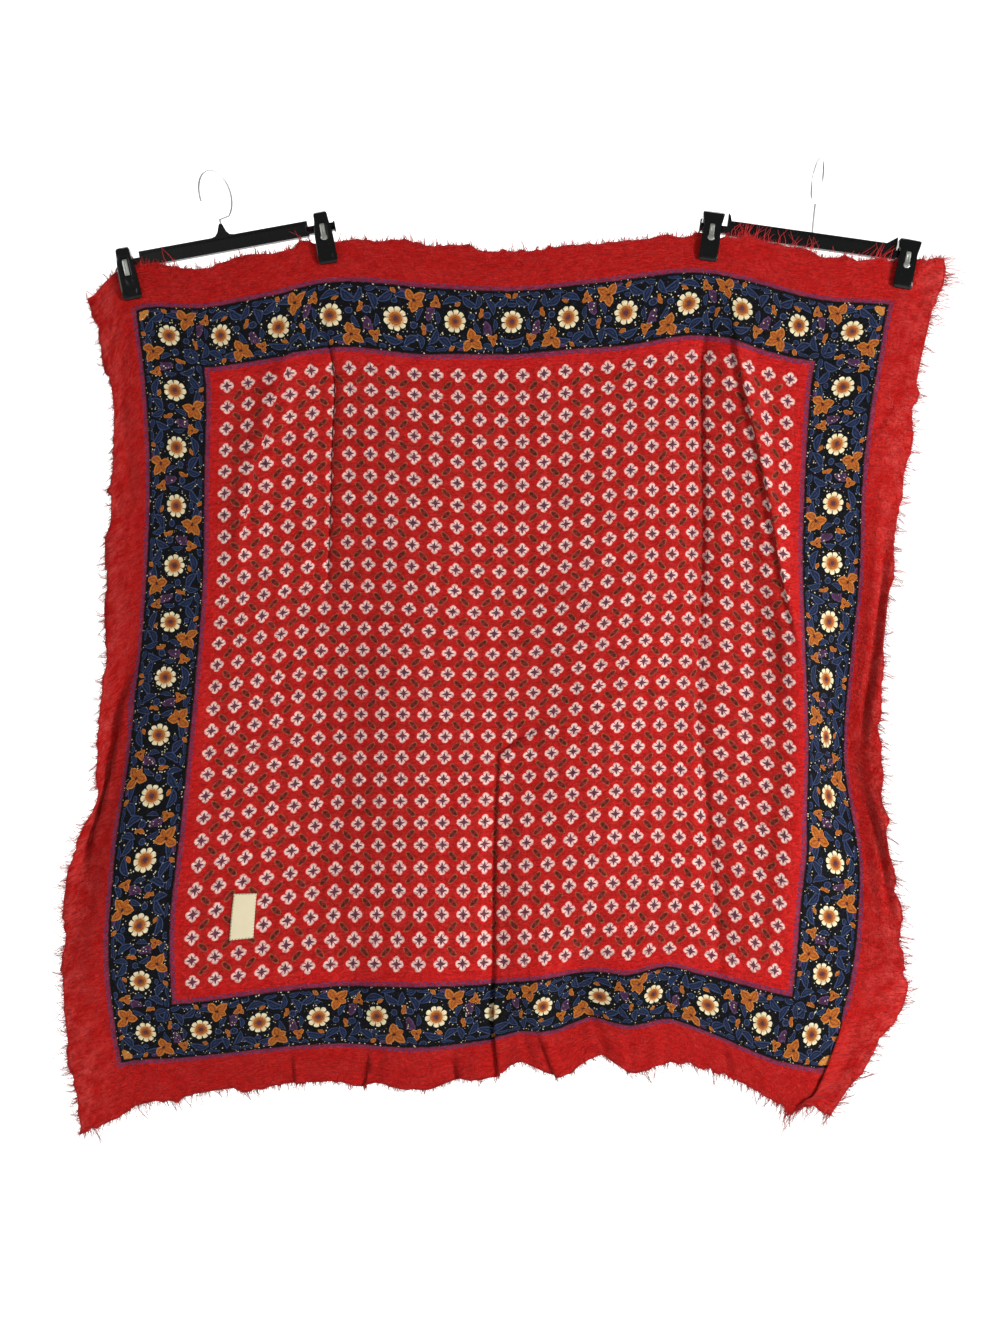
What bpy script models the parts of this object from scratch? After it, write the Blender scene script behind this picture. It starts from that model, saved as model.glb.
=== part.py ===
"""Square wool gauze scarf, hung by its top edge from four clips on two black skirt hangers.

Metres, +Z up, the front towards -Y. The origin is the inner crown of the left hanger's hook,
where a rail along X carries it; the right hanger's hook meets the same rail at the same height.
The scarf is worked out flat, across from its left edge and down from its top edge, and each
flat place is then carried to where it hangs.
"""

import math
import random

import bmesh
import bpy
import numpy as np
from mathutils import Matrix, Vector

# The flat scarf: a plain margin, a printed band, then flowers on a square grid
FLOWERS = 28
PITCH = 0.025
BAND = 0.070
MARGIN = 0.058
SIDE = (FLOWERS + 1) * PITCH + 2 * (BAND + MARGIN)
WALL = 0.0012
GAP = 0.0003
CLOTH_PLANE = -0.007
CELLS = 40
FINE_STEPS = 5

# The label lies flat over the lower left flowers
LABEL_LEFT, LABEL_TOP = 0.190, 0.742
LABEL_WIDTH, LABEL_HEIGHT = 0.027, 0.050
LABEL_THICK = 0.001
LABEL_LIFT = 0.0006

# Fringe: three strip segments to a cloth cell, a lock on every second one; the strip's ends
# stop short of the cloth's corners by a share of a cell
STRIP_WIDTH = 0.0025
STRIP_INSET = 0.08
SEGMENTS_PER_CELL = 3
CLIP_CLEARANCE = 0.016

# Flat distance across of each column in the two tables below
LEFT_CREASE, RIGHT_CREASE = 0.278, 0.715
COLUMNS = (
    0.0,
    MARGIN,
    MARGIN + BAND,
    LEFT_CREASE,
    SIDE / 2,
    RIGHT_CREASE,
    SIDE - MARGIN - BAND,
    SIDE - MARGIN,
    SIDE,
)
# Where each section of the scarf hangs, left to right: X at the nine columns
# down, left hem, band, ground, left crease, middle, right crease, ground, band, right hem
SECTIONS_X = (
    (0.000, -0.153, -0.092, -0.015, 0.134, 0.347, 0.569, 0.721, 0.795, 0.847),
    (0.058, -0.130, -0.088, -0.011, 0.135, 0.346, 0.567, 0.706, 0.781, 0.835),
    (0.128, -0.120, -0.081, -0.009, 0.135, 0.345, 0.563, 0.694, 0.768, 0.819),
    (0.253, -0.125, -0.076, -0.013, 0.133, 0.342, 0.561, 0.682, 0.749, 0.796),
    (0.378, -0.129, -0.083, -0.017, 0.127, 0.338, 0.558, 0.676, 0.744, 0.779),
    (0.478, -0.136, -0.093, -0.026, 0.117, 0.328, 0.551, 0.676, 0.732, 0.768),
    (0.578, -0.148, -0.107, -0.038, 0.112, 0.321, 0.543, 0.677, 0.724, 0.764),
    (0.678, -0.183, -0.126, -0.051, 0.106, 0.315, 0.540, 0.671, 0.736, 0.774),
    (0.753, -0.190, -0.133, -0.063, 0.101, 0.312, 0.535, 0.665, 0.734, 0.782),
    (0.853, -0.188, -0.130, -0.063, 0.093, 0.310, 0.525, 0.654, 0.715, 0.777),
    (0.923, -0.180, -0.122, -0.057, 0.091, 0.310, 0.527, 0.638, 0.692, 0.733),
    (0.981, -0.173, -0.113, -0.048, 0.091, 0.311, 0.532, 0.626, 0.658, 0.701),
)
# The same sections' heights: Z at the nine columns
SECTIONS_Z = (
    (0.000, -0.147, -0.113, -0.112, -0.084, -0.099, -0.088, -0.115, -0.124, -0.122),
    (0.058, -0.200, -0.162, -0.160, -0.133, -0.148, -0.131, -0.166, -0.172, -0.179),
    (0.128, -0.268, -0.227, -0.228, -0.207, -0.220, -0.201, -0.235, -0.236, -0.245),
    (0.253, -0.384, -0.350, -0.352, -0.332, -0.348, -0.330, -0.360, -0.360, -0.372),
    (0.378, -0.509, -0.481, -0.478, -0.460, -0.472, -0.457, -0.487, -0.493, -0.505),
    (0.478, -0.608, -0.577, -0.575, -0.559, -0.567, -0.556, -0.585, -0.597, -0.609),
    (0.578, -0.707, -0.677, -0.676, -0.660, -0.661, -0.655, -0.686, -0.698, -0.708),
    (0.678, -0.813, -0.791, -0.779, -0.762, -0.760, -0.757, -0.788, -0.805, -0.817),
    (0.753, -0.892, -0.875, -0.865, -0.840, -0.839, -0.837, -0.866, -0.885, -0.896),
    (0.853, -0.986, -0.967, -0.965, -0.950, -0.949, -0.938, -0.970, -0.981, -0.984),
    (0.923, -1.056, -1.030, -1.026, -1.014, -1.012, -0.998, -1.043, -1.054, -1.057),
    (0.981, -1.115, -1.087, -1.073, -1.059, -1.051, -1.040, -1.089, -1.104, -1.104),
)

# Folds run down the cloth: down at each end, the length over which each end fades, across at
# the top, middle and foot of the run, half width, and height to the front (hollows negative)
FOLDS = (
    ("left clip pull", 0.060, 0.420, 0.100, 0.262, 0.188, 0.168, 0.020, 0.006),
    ("left crease", 0.060, 0.460, 0.120, 0.278, 0.278, 0.276, 0.016, -0.005),
    ("centre fold", 0.110, 0.420, 0.140, 0.508, 0.510, 0.512, 0.016, 0.003),
    ("right crease", 0.070, 0.900, 0.120, 0.714, 0.721, 0.776, 0.018, -0.006),
    ("right clip pull", 0.060, 0.560, 0.120, 0.726, 0.806, 0.842, 0.022, 0.010),
    ("right ground ridge", 0.300, 0.900, 0.220, 0.838, 0.842, 0.835, 0.030, 0.013),
    ("right band hollow", 0.180, 0.900, 0.280, 0.905, 0.925, 0.915, 0.040, -0.034),
    ("right margin curl", 0.100, 0.700, 0.240, 0.968, 0.985, 0.985, 0.030, 0.014),
    ("lower centre crease", 0.560, 0.981, 0.200, 0.492, 0.491, 0.490, 0.016, -0.009),
    ("left margin hollow", 0.380, 0.880, 0.200, 0.040, 0.020, 0.012, 0.028, -0.016),
    ("left flare", 0.600, 0.981, 0.200, 0.030, 0.020, 0.030, 0.050, 0.014),
    ("left ground swell", 0.060, 0.900, 0.380, 0.130, 0.135, 0.150, 0.070, 0.007),
    ("left middle swell", 0.100, 0.981, 0.300, 0.380, 0.390, 0.400, 0.085, 0.010),
    ("right middle swell", 0.080, 0.981, 0.420, 0.610, 0.600, 0.590, 0.080, 0.012),
    ("middle hollow", 0.200, 0.981, 0.350, 0.300, 0.290, 0.290, 0.060, -0.008),
    ("hem hollow left", 0.760, 0.981, 0.140, 0.320, 0.325, 0.330, 0.024, -0.010),
    ("hem ridge left", 0.760, 0.981, 0.160, 0.400, 0.405, 0.410, 0.034, 0.012),
    ("hem ridge centre", 0.790, 0.981, 0.140, 0.545, 0.550, 0.555, 0.024, 0.010),
    ("hem hollow right", 0.760, 0.981, 0.160, 0.590, 0.600, 0.605, 0.026, -0.018),
    ("hem ridge right", 0.800, 0.981, 0.140, 0.660, 0.665, 0.670, 0.034, 0.010),
    ("corner fold", 0.830, 0.981, 0.130, 0.925, 0.935, 0.945, 0.026, -0.016),
)
# The lower edge rises and dips between the sections: across, half width, how far up it
# reaches, and the rise
HEM_WAVES = (
    ("left dip", 0.400, 0.060, 0.110, -0.013),
    ("tip", 0.412, 0.020, 0.040, -0.006),
    ("centre rise", 0.520, 0.026, 0.160, 0.009),
    ("centre tip", 0.565, 0.020, 0.050, -0.010),
    ("right rise", 0.608, 0.024, 0.150, 0.012),
    ("right dip", 0.660, 0.030, 0.080, -0.006),
    ("corner notch", 0.946, 0.016, 0.030, 0.014),
)

# Fringe locks of each edge: shortest, longest, lean along the edge, sag and throw to the front
FRINGE = {
    "fringe_top": (0.011, 0.026, 0.003, 0.000, 0.002),
    "fringe_bottom": (0.010, 0.020, 0.004, 0.002, 0.001),
    "fringe_left": (0.011, 0.019, 0.003, 0.004, 0.001),
    "fringe_right": (0.011, 0.019, 0.003, 0.004, 0.001),
}
FRINGE_SEED = 7

# Each hanger: X of the hook's inner crown, its rise above the bar's axis, its lean along the
# bar, the bar's tilt upwards to the right, the turn of the hook's loop from the bar, and the
# height of the stem's foot above the bar's axis
HANGERS = {
    "left": (0.000, 0.0866, 0.0000, math.radians(9.2), math.radians(45), 0.0236),
    "right": (0.706, 0.0953, -0.0036, math.radians(-9.2), math.radians(97), 0.0091),
}
BAR_THICK = 0.008
BAR_HALF_HEIGHT = 0.00885
BAR_HALF_LENGTH = 0.099
BAR_FLANGE = 0.0028
BAR_END_WALL = 0.004
BAR_WEB_THICK = 0.0036
RAIL_TOP, RAIL_FOOT = 0.002, -0.007
# How far each hanger's rail reaches: the outer end stops inside its clip, and the inner end
# carries a stop that shows beyond its clip
OUTER_REACH, INNER_REACH = 0.1200, 0.1288
STOP_THICK = 0.0018
STOP_TOPS = {"left": 0.0032, "right": 0.0068}
STOP_FOOT = -0.0085
PEAK_TOP = 0.0233

WIRE_RADIUS = 0.0011
WIRE_SIDES = 2
LOOP_HALF_WIDTH = 0.023
LOOP_STEPS = 22
LOOP_START, LOOP_END = math.radians(-52), math.radians(196)
# Loop's half height and the straight stem's top below the inner crown
LOOPS = {"left": (0.030, 0.0575), "right": (0.027, 0.0530)}

# Clip jaws, as sections from the top down: height from the rail's axis, half width of a left
# clip, half width of a right clip, and the front and inner faces of the front jaw. Below the
# rail the right clips are shorter by a constant share
FRONT_JAW = (
    (0.0150, 0.0066, 0.0112, -0.0105, 0.0038),
    (0.0130, 0.0076, 0.0122, -0.0130, 0.0038),
    (0.0045, 0.0082, 0.0112, -0.0142, 0.0038),
    (0.0042, 0.0082, 0.0112, -0.0142, -0.0108),
    (-0.0030, 0.0094, 0.0094, -0.0144, -0.0108),
    (-0.0130, 0.0106, 0.0104, -0.0144, -0.0106),
    (-0.0330, 0.0110, 0.0108, -0.0138, -0.0100),
    (-0.0360, 0.0110, 0.0108, -0.0136, -0.0079),
    (-0.0445, 0.0110, 0.0108, -0.0126, -0.0079),
    (-0.0460, 0.0096, 0.0100, -0.0112, -0.0079),
)
# The back jaw carries the rail in its notch: height, half width left, right, inner, back face
BACK_JAW = (
    (0.0130, 0.0070, 0.0115, 0.0043, 0.0075),
    (-0.0079, 0.0098, 0.0098, 0.0043, 0.0085),
    (-0.0082, 0.0098, 0.0098, -0.0018, 0.0085),
    (-0.0240, 0.0108, 0.0104, -0.0046, 0.0050),
    (-0.0345, 0.0110, 0.0106, -0.0061, 0.0020),
    (-0.0440, 0.0110, 0.0106, -0.0061, -0.0012),
    (-0.0455, 0.0100, 0.0100, -0.0061, -0.0022),
)
FRONT_FACE = -0.0144
BODY_TOP = -0.0100
RIGHT_BODY_SHARE = 0.90
JAW_CHAMFER = 0.0016
SLOT_TOP, SLOT_FOOT, SLOT_WIDTH, SLOT_DEPTH = 0.0015, -0.0205, 0.0094, 0.0016
SPRING_WIDTH, SPRING_TOP, SPRING_FOOT, SPRING_THICK = 0.0076, 0.0005, -0.0190, 0.0009
SPRING_TIP_STEPS = 5

# Each clip: its hanger, its place along the bar from the middle, and its turn on the rail
CLIPS = {
    "left_outer": ("left", -0.1154, math.radians(2.2)),
    "left_inner": ("left", 0.1160, 0.0),
    "right_inner": ("right", -0.1165, 0.0),
    "right_outer": ("right", 0.1120, math.radians(-2.8)),
}

RED_WOOL = (0.50, 0.018, 0.020)
CREAM_TAPE = (0.78, 0.70, 0.50)
BLACK_PLASTIC = (0.012, 0.013, 0.012)
SPRING_STEEL = (0.62, 0.63, 0.62)
HOOK_WIRE = (0.75, 0.75, 0.74)


def material(name, colour, roughness, metallic=0.0):
    made = bpy.data.materials.new(name)
    made.use_nodes = True
    shader = made.node_tree.nodes["Principled BSDF"]
    shader.inputs["Base Color"].default_value = (*colour, 1.0)
    shader.inputs["Roughness"].default_value = roughness
    shader.inputs["Metallic"].default_value = metallic
    return made


def add_object(name, mesh, finish, smooth=False):
    for face in mesh.polygons:
        face.use_smooth = smooth
    mesh.materials.append(material(name + "_finish", *finish))
    made = bpy.data.objects.new(name, mesh)
    bpy.context.scene.collection.objects.link(made)
    return made


def mesh_of(name, points, faces):
    mesh = bpy.data.meshes.new(name)
    mesh.from_pydata([tuple(point) for point in points], [], faces)
    mesh.update()
    return mesh


# The cloth's hanging form


def smooth_curve(knots, values, at):
    """Values at the places `at`, on a smooth curve through the rows of `values` at `knots`."""
    knots = np.asarray(knots)
    values = np.asarray(values)
    slopes = np.gradient(values, knots, axis=0)
    low = np.clip(np.searchsorted(knots, at) - 1, 0, len(knots) - 2)
    span = (knots[low + 1] - knots[low])[:, None]
    t = ((at - knots[low])[:, None]) / span
    start, end = values[low], values[low + 1]
    lead, trail = slopes[low] * span, slopes[low + 1] * span
    return (
        start * (2 * t**3 - 3 * t**2 + 1)
        + lead * (t**3 - 2 * t**2 + t)
        + end * (3 * t**2 - 2 * t**3)
        + trail * (t**3 - t**2)
    )


def hung_grid(sections, down, across):
    """One coordinate over the whole cloth, from its table of sections."""
    table = np.array(sections)
    along = smooth_curve(table[:, 0], table[:, 1:], down)
    return smooth_curve(COLUMNS, along.T, across).T


def ease(x):
    x = np.clip(x, 0.0, 1.0)
    return x * x * (3 - 2 * x)


def fold_heights(down, across):
    """How far each place stands out to the front, from the table of folds."""
    heights = np.zeros((len(down), len(across)))
    for name, top, foot, fade, a, b, c, half_width, height in FOLDS:
        run = np.clip((down - top) / (foot - top), 0.0, 1.0)
        path = a * (1 - run) ** 2 + (4 * b - a - c) * run * (1 - run) + c * run**2
        lead_in = ease((down - top) / fade)
        lead_out = 1.0 if foot >= SIDE else ease((foot - down) / fade)
        away = (across[None, :] - path[:, None]) / half_width
        heights += (height * lead_in * lead_out)[:, None] * np.exp(-(away**2))
    return heights


def hem_rises(down, across):
    rises = np.zeros((len(down), len(across)))
    for name, place, half_width, reach, rise in HEM_WAVES:
        up = ease(1 - (SIDE - down) / reach)
        away = (across - place) / half_width
        rises += rise * up[:, None] * np.exp(-(away**2))[None, :]
    return rises


def taken_up(heights, across):
    """Sideways shift of each place, because a length of cloth that slopes back looks shorter."""
    slopes = np.gradient(heights, across, axis=1)
    share = np.sqrt(np.clip(1 - slopes**2, 0.2, 1.0))
    steps = (share[:, 1:] + share[:, :-1]) / 2 * np.diff(across)
    run = np.concatenate([np.zeros((len(heights), 1)), np.cumsum(steps, axis=1)], axis=1)
    held = [np.interp(across, COLUMNS, np.interp(COLUMNS, across, row)) for row in run]
    return run - np.array(held)


def cloth_grid():
    """Centre points of the hanging cloth, row by row from the top, and their front normals."""
    places = np.linspace(0.0, SIDE, CELLS * FINE_STEPS + 1)
    heights = fold_heights(places, places)
    x = hung_grid(SECTIONS_X, places, places) + taken_up(heights, places)
    z = hung_grid(SECTIONS_Z, places, places) + hem_rises(places, places)
    points = np.stack([x, CLOTH_PLANE - heights, z], axis=-1)[::FINE_STEPS, ::FINE_STEPS]
    downward = np.gradient(points, axis=0)
    rightward = np.gradient(points, axis=1)
    normals = np.cross(downward, rightward)
    normals /= np.linalg.norm(normals, axis=-1, keepdims=True)
    return points, normals


def wall_mesh(name, points, normals, thickness):
    """A closed wall of even thickness about a grid of points."""
    rows, columns = points.shape[:2]
    front = (points + normals * thickness / 2).reshape(-1, 3)
    back = (points - normals * thickness / 2).reshape(-1, 3)
    count = rows * columns
    faces = []
    for r in range(rows - 1):
        for c in range(columns - 1):
            a = r * columns + c
            b, d, e = a + 1, a + columns, a + columns + 1
            faces.append((a, d, e, b))
            faces.append((count + a, count + b, count + e, count + d))
    rim = [c for c in range(columns)]
    rim += [r * columns + columns - 1 for r in range(1, rows)]
    rim += [(rows - 1) * columns + c for c in range(columns - 2, -1, -1)]
    rim += [r * columns for r in range(rows - 2, 0, -1)]
    for a, b in zip(rim, rim[1:] + rim[:1]):
        faces.append((a, b, count + b, count + a))
    return mesh_of(name, np.concatenate([front, back]), faces)


def make_label(points, normals):
    """The label's points lie on the cloth's own facets, moved out to the front."""
    cell = SIDE / CELLS
    grid, facing = [], []
    for row in np.linspace(LABEL_TOP, LABEL_TOP + LABEL_HEIGHT, 7) / cell:
        for column in np.linspace(LABEL_LEFT, LABEL_LEFT + LABEL_WIDTH, 5) / cell:
            r, c = int(row), int(column)
            s, t = row - r, column - c
            for source, target in ((points, grid), (normals, facing)):
                upper = source[r, c] * (1 - t) + source[r, c + 1] * t
                lower = source[r + 1, c] * (1 - t) + source[r + 1, c + 1] * t
                target.append(upper * (1 - s) + lower * s)
    grid, facing = np.array(grid), np.array(facing)
    facing /= np.linalg.norm(facing, axis=-1, keepdims=True)
    grid += facing * (WALL / 2 + LABEL_LIFT + LABEL_THICK / 2)
    mesh = wall_mesh("label", grid.reshape(7, 5, 3), facing.reshape(7, 5, 3), LABEL_THICK)
    add_object("label", mesh, (CREAM_TAPE, 0.85))


# Fringe


def clip_centres():
    """World X and Z of each clip's grip on the cloth."""
    centres = []
    for hanger, along, turn in CLIPS.values():
        grip = hanger_frame(hanger) @ Vector((along, 0.0, -0.02))
        centres.append((grip.x, grip.z))
    return np.array(centres)


def hem_of(name, points, normals):
    """The edge's points, the normals there and the directions out of the cloth."""
    edge, inner = {
        "fringe_top": (points[0], points[1]),
        "fringe_bottom": (points[-1], points[-2]),
        "fringe_left": (points[:, 0], points[:, 1]),
        "fringe_right": (points[:, -1], points[:, -2]),
    }[name]
    facing = {
        "fringe_top": normals[0],
        "fringe_bottom": normals[-1],
        "fringe_left": normals[:, 0],
        "fringe_right": normals[:, -1],
    }[name]
    out = edge - inner
    return edge, facing, out / np.linalg.norm(out, axis=-1, keepdims=True)


def make_fringe(name, points, normals, draws):
    """A narrow strip along one edge, parted from it, with tapered locks standing on it."""
    shortest, longest, lean, sag, throw = FRINGE[name]
    edge, facing, out = hem_of(name, points, normals)
    cells = len(edge) - 1
    at = np.linspace(0, cells, cells * SEGMENTS_PER_CELL + 1)
    at[0] += STRIP_INSET
    at[-1] -= STRIP_INSET
    knots = np.arange(cells + 1)

    def along(values):
        return np.stack([np.interp(at, knots, values[:, axis]) for axis in range(3)], axis=-1)

    edge, facing, out = along(edge), along(facing), along(out)
    front = facing * WALL / 2
    inner, outer = edge + out * GAP, edge + out * (GAP + STRIP_WIDTH)
    rings = np.stack([inner + front, outer + front, outer - front, inner - front], axis=1)
    vertices = list(rings.reshape(-1, 3))
    faces = [(3, 2, 1, 0), tuple(4 * (len(at) - 1) + k for k in range(4))]
    grips = clip_centres()
    for i in range(len(at) - 1):
        a, b = 4 * i, 4 * i + 4
        for k in (0, 2, 3):
            nxt = (k + 1) % 4
            faces.append((a + k, a + nxt, b + nxt, b + k))
        middle = (outer[i] + outer[i + 1]) / 2
        length = draws.uniform(shortest, longest)
        aside = draws.uniform(-lean, lean)
        apart = np.hypot(*(grips - middle[[0, 2]]).T).min()
        if i % 2 or (name == "fringe_top" and apart < CLIP_CLEARANCE):
            faces.append((a + 1, a + 2, b + 2, b + 1))
            continue
        run = edge[i + 1] - edge[i]
        run /= np.linalg.norm(run)
        tip = middle + out[i] * length + run * aside + np.array([0.0, -throw, -sag])
        vertices.append(tip)
        last = len(vertices) - 1
        for p, q in ((a + 1, a + 2), (a + 2, b + 2), (b + 2, b + 1), (b + 1, a + 1)):
            faces.append((p, q, last))
    mesh = mesh_of(name, vertices, faces)
    shaped = bmesh.new()
    shaped.from_mesh(mesh)
    bmesh.ops.recalc_face_normals(shaped, faces=shaped.faces)
    shaped.to_mesh(mesh)
    shaped.free()
    add_object(name, mesh, (RED_WOOL, 0.95))


# Hangers


def hanger_frame(hanger):
    """Places a hanger: its own X runs along the bar and its Z up the stem."""
    crown, rise, lean, tilt, turn, foot = HANGERS[hanger]
    turned = Matrix.Rotation(-tilt, 4, "Y")
    return Matrix.Translation((crown, 0.0, 0.0)) @ turned @ Matrix.Translation((-lean, 0, -rise))


def mirrored(outline):
    """A closed outline from the half at +X that runs from the top round to the foot."""
    return outline + [(-x, z) for x, z in reversed(outline)]


def prism(shape, outline, near, far):
    """Adds a front outline, drawn through from `near` to `far` along Y."""
    front = [shape.verts.new((x, near, z)) for x, z in outline]
    back = [shape.verts.new((x, far, z)) for x, z in outline]
    shape.faces.new(front)
    shape.faces.new(list(reversed(back)))
    for i in range(len(outline)):
        j = (i + 1) % len(outline)
        shape.faces.new((front[i], back[i], back[j], front[j]))


def cutter(name, target, frame, outlines, near, far):
    """Cuts prisms out of the target, by a hidden helper object."""
    shape = bmesh.new()
    for outline in outlines:
        prism(shape, outline, near, far)
    bmesh.ops.recalc_face_normals(shape, faces=shape.faces)
    mesh = bpy.data.meshes.new(name)
    shape.to_mesh(mesh)
    shape.free()
    helper = bpy.data.objects.new(name, mesh)
    bpy.context.scene.collection.objects.link(helper)
    helper.matrix_world = frame
    helper.hide_render = True
    helper.display_type = "WIRE"
    cut = target.modifiers.new(name, "BOOLEAN")
    cut.object = helper
    cut.operation = "DIFFERENCE"


def box_outline(x0, x1, z0, z1):
    return [(x0, z0), (x1, z0), (x1, z1), (x0, z1)]


def outer_rail(end):
    """The outer slide rail's outline, from the bar's end round its tip and back."""
    reach = OUTER_REACH
    return [(end, RAIL_TOP), (reach, RAIL_TOP), (reach, RAIL_FOOT), (end, RAIL_FOOT)]


def inner_rail(end, stop_top):
    """The inner slide rail's outline, with the stop on its tip."""
    reach, tip = INNER_REACH, INNER_REACH + STOP_THICK
    outline = [(end, RAIL_TOP), (reach, RAIL_TOP), (reach, stop_top), (tip, stop_top)]
    return outline + [(tip, STOP_FOOT), (reach, STOP_FOOT), (reach, RAIL_FOOT), (end, RAIL_FOOT)]


def make_bar(hanger):
    """The moulded bar: an I section with a slide rail at each end, and a peak or two ears."""
    top, end = BAR_HALF_HEIGHT, BAR_HALF_LENGTH
    if hanger == "left":
        peak = [(0.0019, PEAK_TOP), (0.0032, 0.0196), (0.0052, 0.0140), (0.0086, 0.0100)]
        left_top = right_top = peak + [(0.0130, top), (end, top)]
        left_rail = outer_rail(end)
        right_rail = inner_rail(end, STOP_TOPS[hanger])
    else:
        left_top = [(0.0945, top), (0.0965, 0.0150), (end, 0.0175)]
        right_top = [(0.0870, top), (0.0955, 0.0150), (end, 0.0175)]
        left_rail = inner_rail(end, STOP_TOPS[hanger])
        right_rail = outer_rail(end)
    left_half = left_top + left_rail + [(end, -top)]
    outline = right_top + right_rail + [(end, -top)] + [(-x, z) for x, z in reversed(left_half)]
    shape = bmesh.new()
    prism(shape, outline, -BAR_THICK / 2, BAR_THICK / 2)
    bmesh.ops.recalc_face_normals(shape, faces=shape.faces)
    mesh = bpy.data.meshes.new(hanger + "_bar")
    shape.to_mesh(mesh)
    shape.free()
    bar = add_object(hanger + "_bar", mesh, (BLACK_PLASTIC, 0.3))
    frame = hanger_frame(hanger)
    bar.matrix_world = frame
    inner_end, inner_top = end - BAR_END_WALL, top - BAR_FLANGE
    pocket = [box_outline(-inner_end, inner_end, -inner_top, inner_top)]
    face, web = BAR_THICK, BAR_WEB_THICK / 2
    cutter(hanger + "_front_pocket", bar, frame, pocket, -face, -web)
    cutter(hanger + "_back_pocket", bar, frame, pocket, web, face)


def hook_path(hanger):
    """The wire's centre line in its own plane, from the foot of the stem to the open end."""
    crown, rise, lean, tilt, turn, foot = HANGERS[hanger]
    half_height, stem_top = LOOPS[hanger]
    centre = WIRE_RADIUS - half_height
    path = [(0.0, foot - rise), (0.0, (foot - rise - stem_top) / 2), (0.0, -stem_top)]
    for step in range(LOOP_STEPS + 1):
        angle = LOOP_START + (LOOP_END - LOOP_START) * step / LOOP_STEPS
        path.append((LOOP_HALF_WIDTH * math.cos(angle), centre + half_height * math.sin(angle)))
    return path


def make_hook(hanger):
    """The hook in its hanger's frame: its stem leans so that the crown is over its own place."""
    crown, rise, lean, tilt, turn, foot = HANGERS[hanger]
    curve = bpy.data.curves.new(hanger + "_hook", "CURVE")
    curve.dimensions = "3D"
    curve.bevel_depth = WIRE_RADIUS
    curve.bevel_resolution = WIRE_SIDES
    curve.use_fill_caps = True
    path = hook_path(hanger)
    spline = curve.splines.new("POLY")
    spline.points.add(len(path) - 1)
    for point, (side, height) in zip(spline.points, path):
        leant = lean * min(1.0, (height + rise - foot) / (rise - foot))
        point.co = (side * math.cos(turn) + leant, side * math.sin(turn), height + rise, 1.0)
    curve.materials.append(material(hanger + "_hook_finish", HOOK_WIRE, 0.25, 1.0))
    hook = bpy.data.objects.new(hanger + "_hook", curve)
    bpy.context.scene.collection.objects.link(hook)
    hook.matrix_world = hanger_frame(hanger)


def jaw_mesh(name, sections, side, chamfer_front):
    """A jaw lofted through its sections, with its outer corners taken off."""
    shape = bmesh.new()
    rings = []
    for height, left_half, right_half, near, far in sections:
        half = left_half if side == "left" else right_half
        if side == "right" and height < BODY_TOP:
            height = BODY_TOP + (height - BODY_TOP) * RIGHT_BODY_SHARE
        cut = JAW_CHAMFER
        if chamfer_front:
            ring = [(-half, far), (-half, near + cut), (-half + cut, near)]
            ring += [(half - cut, near), (half, near + cut), (half, far)]
        else:
            ring = [(half, near), (half, far - cut), (half - cut, far)]
            ring += [(-half + cut, far), (-half, far - cut), (-half, near)]
        rings.append([shape.verts.new((x, y, height)) for x, y in ring])
    for upper, lower in zip(rings, rings[1:]):
        for k in range(len(upper)):
            j = (k + 1) % len(upper)
            corners = [upper[k], upper[j], lower[j], lower[k]]
            shape.faces.new(corners)
    shape.faces.new(rings[0])
    shape.faces.new(list(reversed(rings[-1])))
    bmesh.ops.recalc_face_normals(shape, faces=shape.faces)
    mesh = bpy.data.meshes.new(name)
    shape.to_mesh(mesh)
    shape.free()
    return mesh


def make_clip(clip):
    hanger, along, turn = CLIPS[clip]
    placed = Matrix.Translation((along, 0, 0)) @ Matrix.Rotation(-turn, 4, "Y")
    frame = hanger_frame(hanger) @ placed
    front_mesh = jaw_mesh(clip + "_front_jaw", FRONT_JAW, hanger, True)
    front = add_object(clip + "_front_jaw", front_mesh, (BLACK_PLASTIC, 0.22))
    front.matrix_world = frame
    floor = FRONT_FACE + SLOT_DEPTH
    slot = [box_outline(-SLOT_WIDTH / 2, SLOT_WIDTH / 2, SLOT_FOOT, SLOT_TOP)]
    cutter(clip + "_slot", front, frame, slot, FRONT_FACE - SLOT_DEPTH, floor)
    back_mesh = jaw_mesh(clip + "_back_jaw", BACK_JAW, hanger, False)
    add_object(clip + "_back_jaw", back_mesh, (BLACK_PLASTIC, 0.3)).matrix_world = frame
    half = SPRING_WIDTH / 2
    outline = [(half, SPRING_TOP), (half, SPRING_FOOT + half)]
    for step in range(1, SPRING_TIP_STEPS):
        angle = -math.pi / 2 * step / SPRING_TIP_STEPS
        outline.append((half * math.cos(angle), SPRING_FOOT + half + half * math.sin(angle)))
    outline = mirrored(outline)
    shape = bmesh.new()
    prism(shape, outline, floor - GAP - SPRING_THICK, floor - GAP)
    bmesh.ops.recalc_face_normals(shape, faces=shape.faces)
    mesh = bpy.data.meshes.new(clip + "_spring")
    shape.to_mesh(mesh)
    shape.free()
    add_object(clip + "_spring", mesh, (SPRING_STEEL, 0.28, 1.0)).matrix_world = frame


def main():
    for old in list(bpy.data.objects):
        bpy.data.objects.remove(old, do_unlink=True)
    points, normals = cloth_grid()
    cloth = wall_mesh("cloth", points, normals, WALL)
    add_object("cloth", cloth, (RED_WOOL, 0.9), smooth=True)
    make_label(points, normals)
    draws = random.Random(FRINGE_SEED)
    for name in FRINGE:
        make_fringe(name, points, normals, draws)
    for hanger in HANGERS:
        make_bar(hanger)
        make_hook(hanger)
    for clip in CLIPS:
        make_clip(clip)


main()
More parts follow.
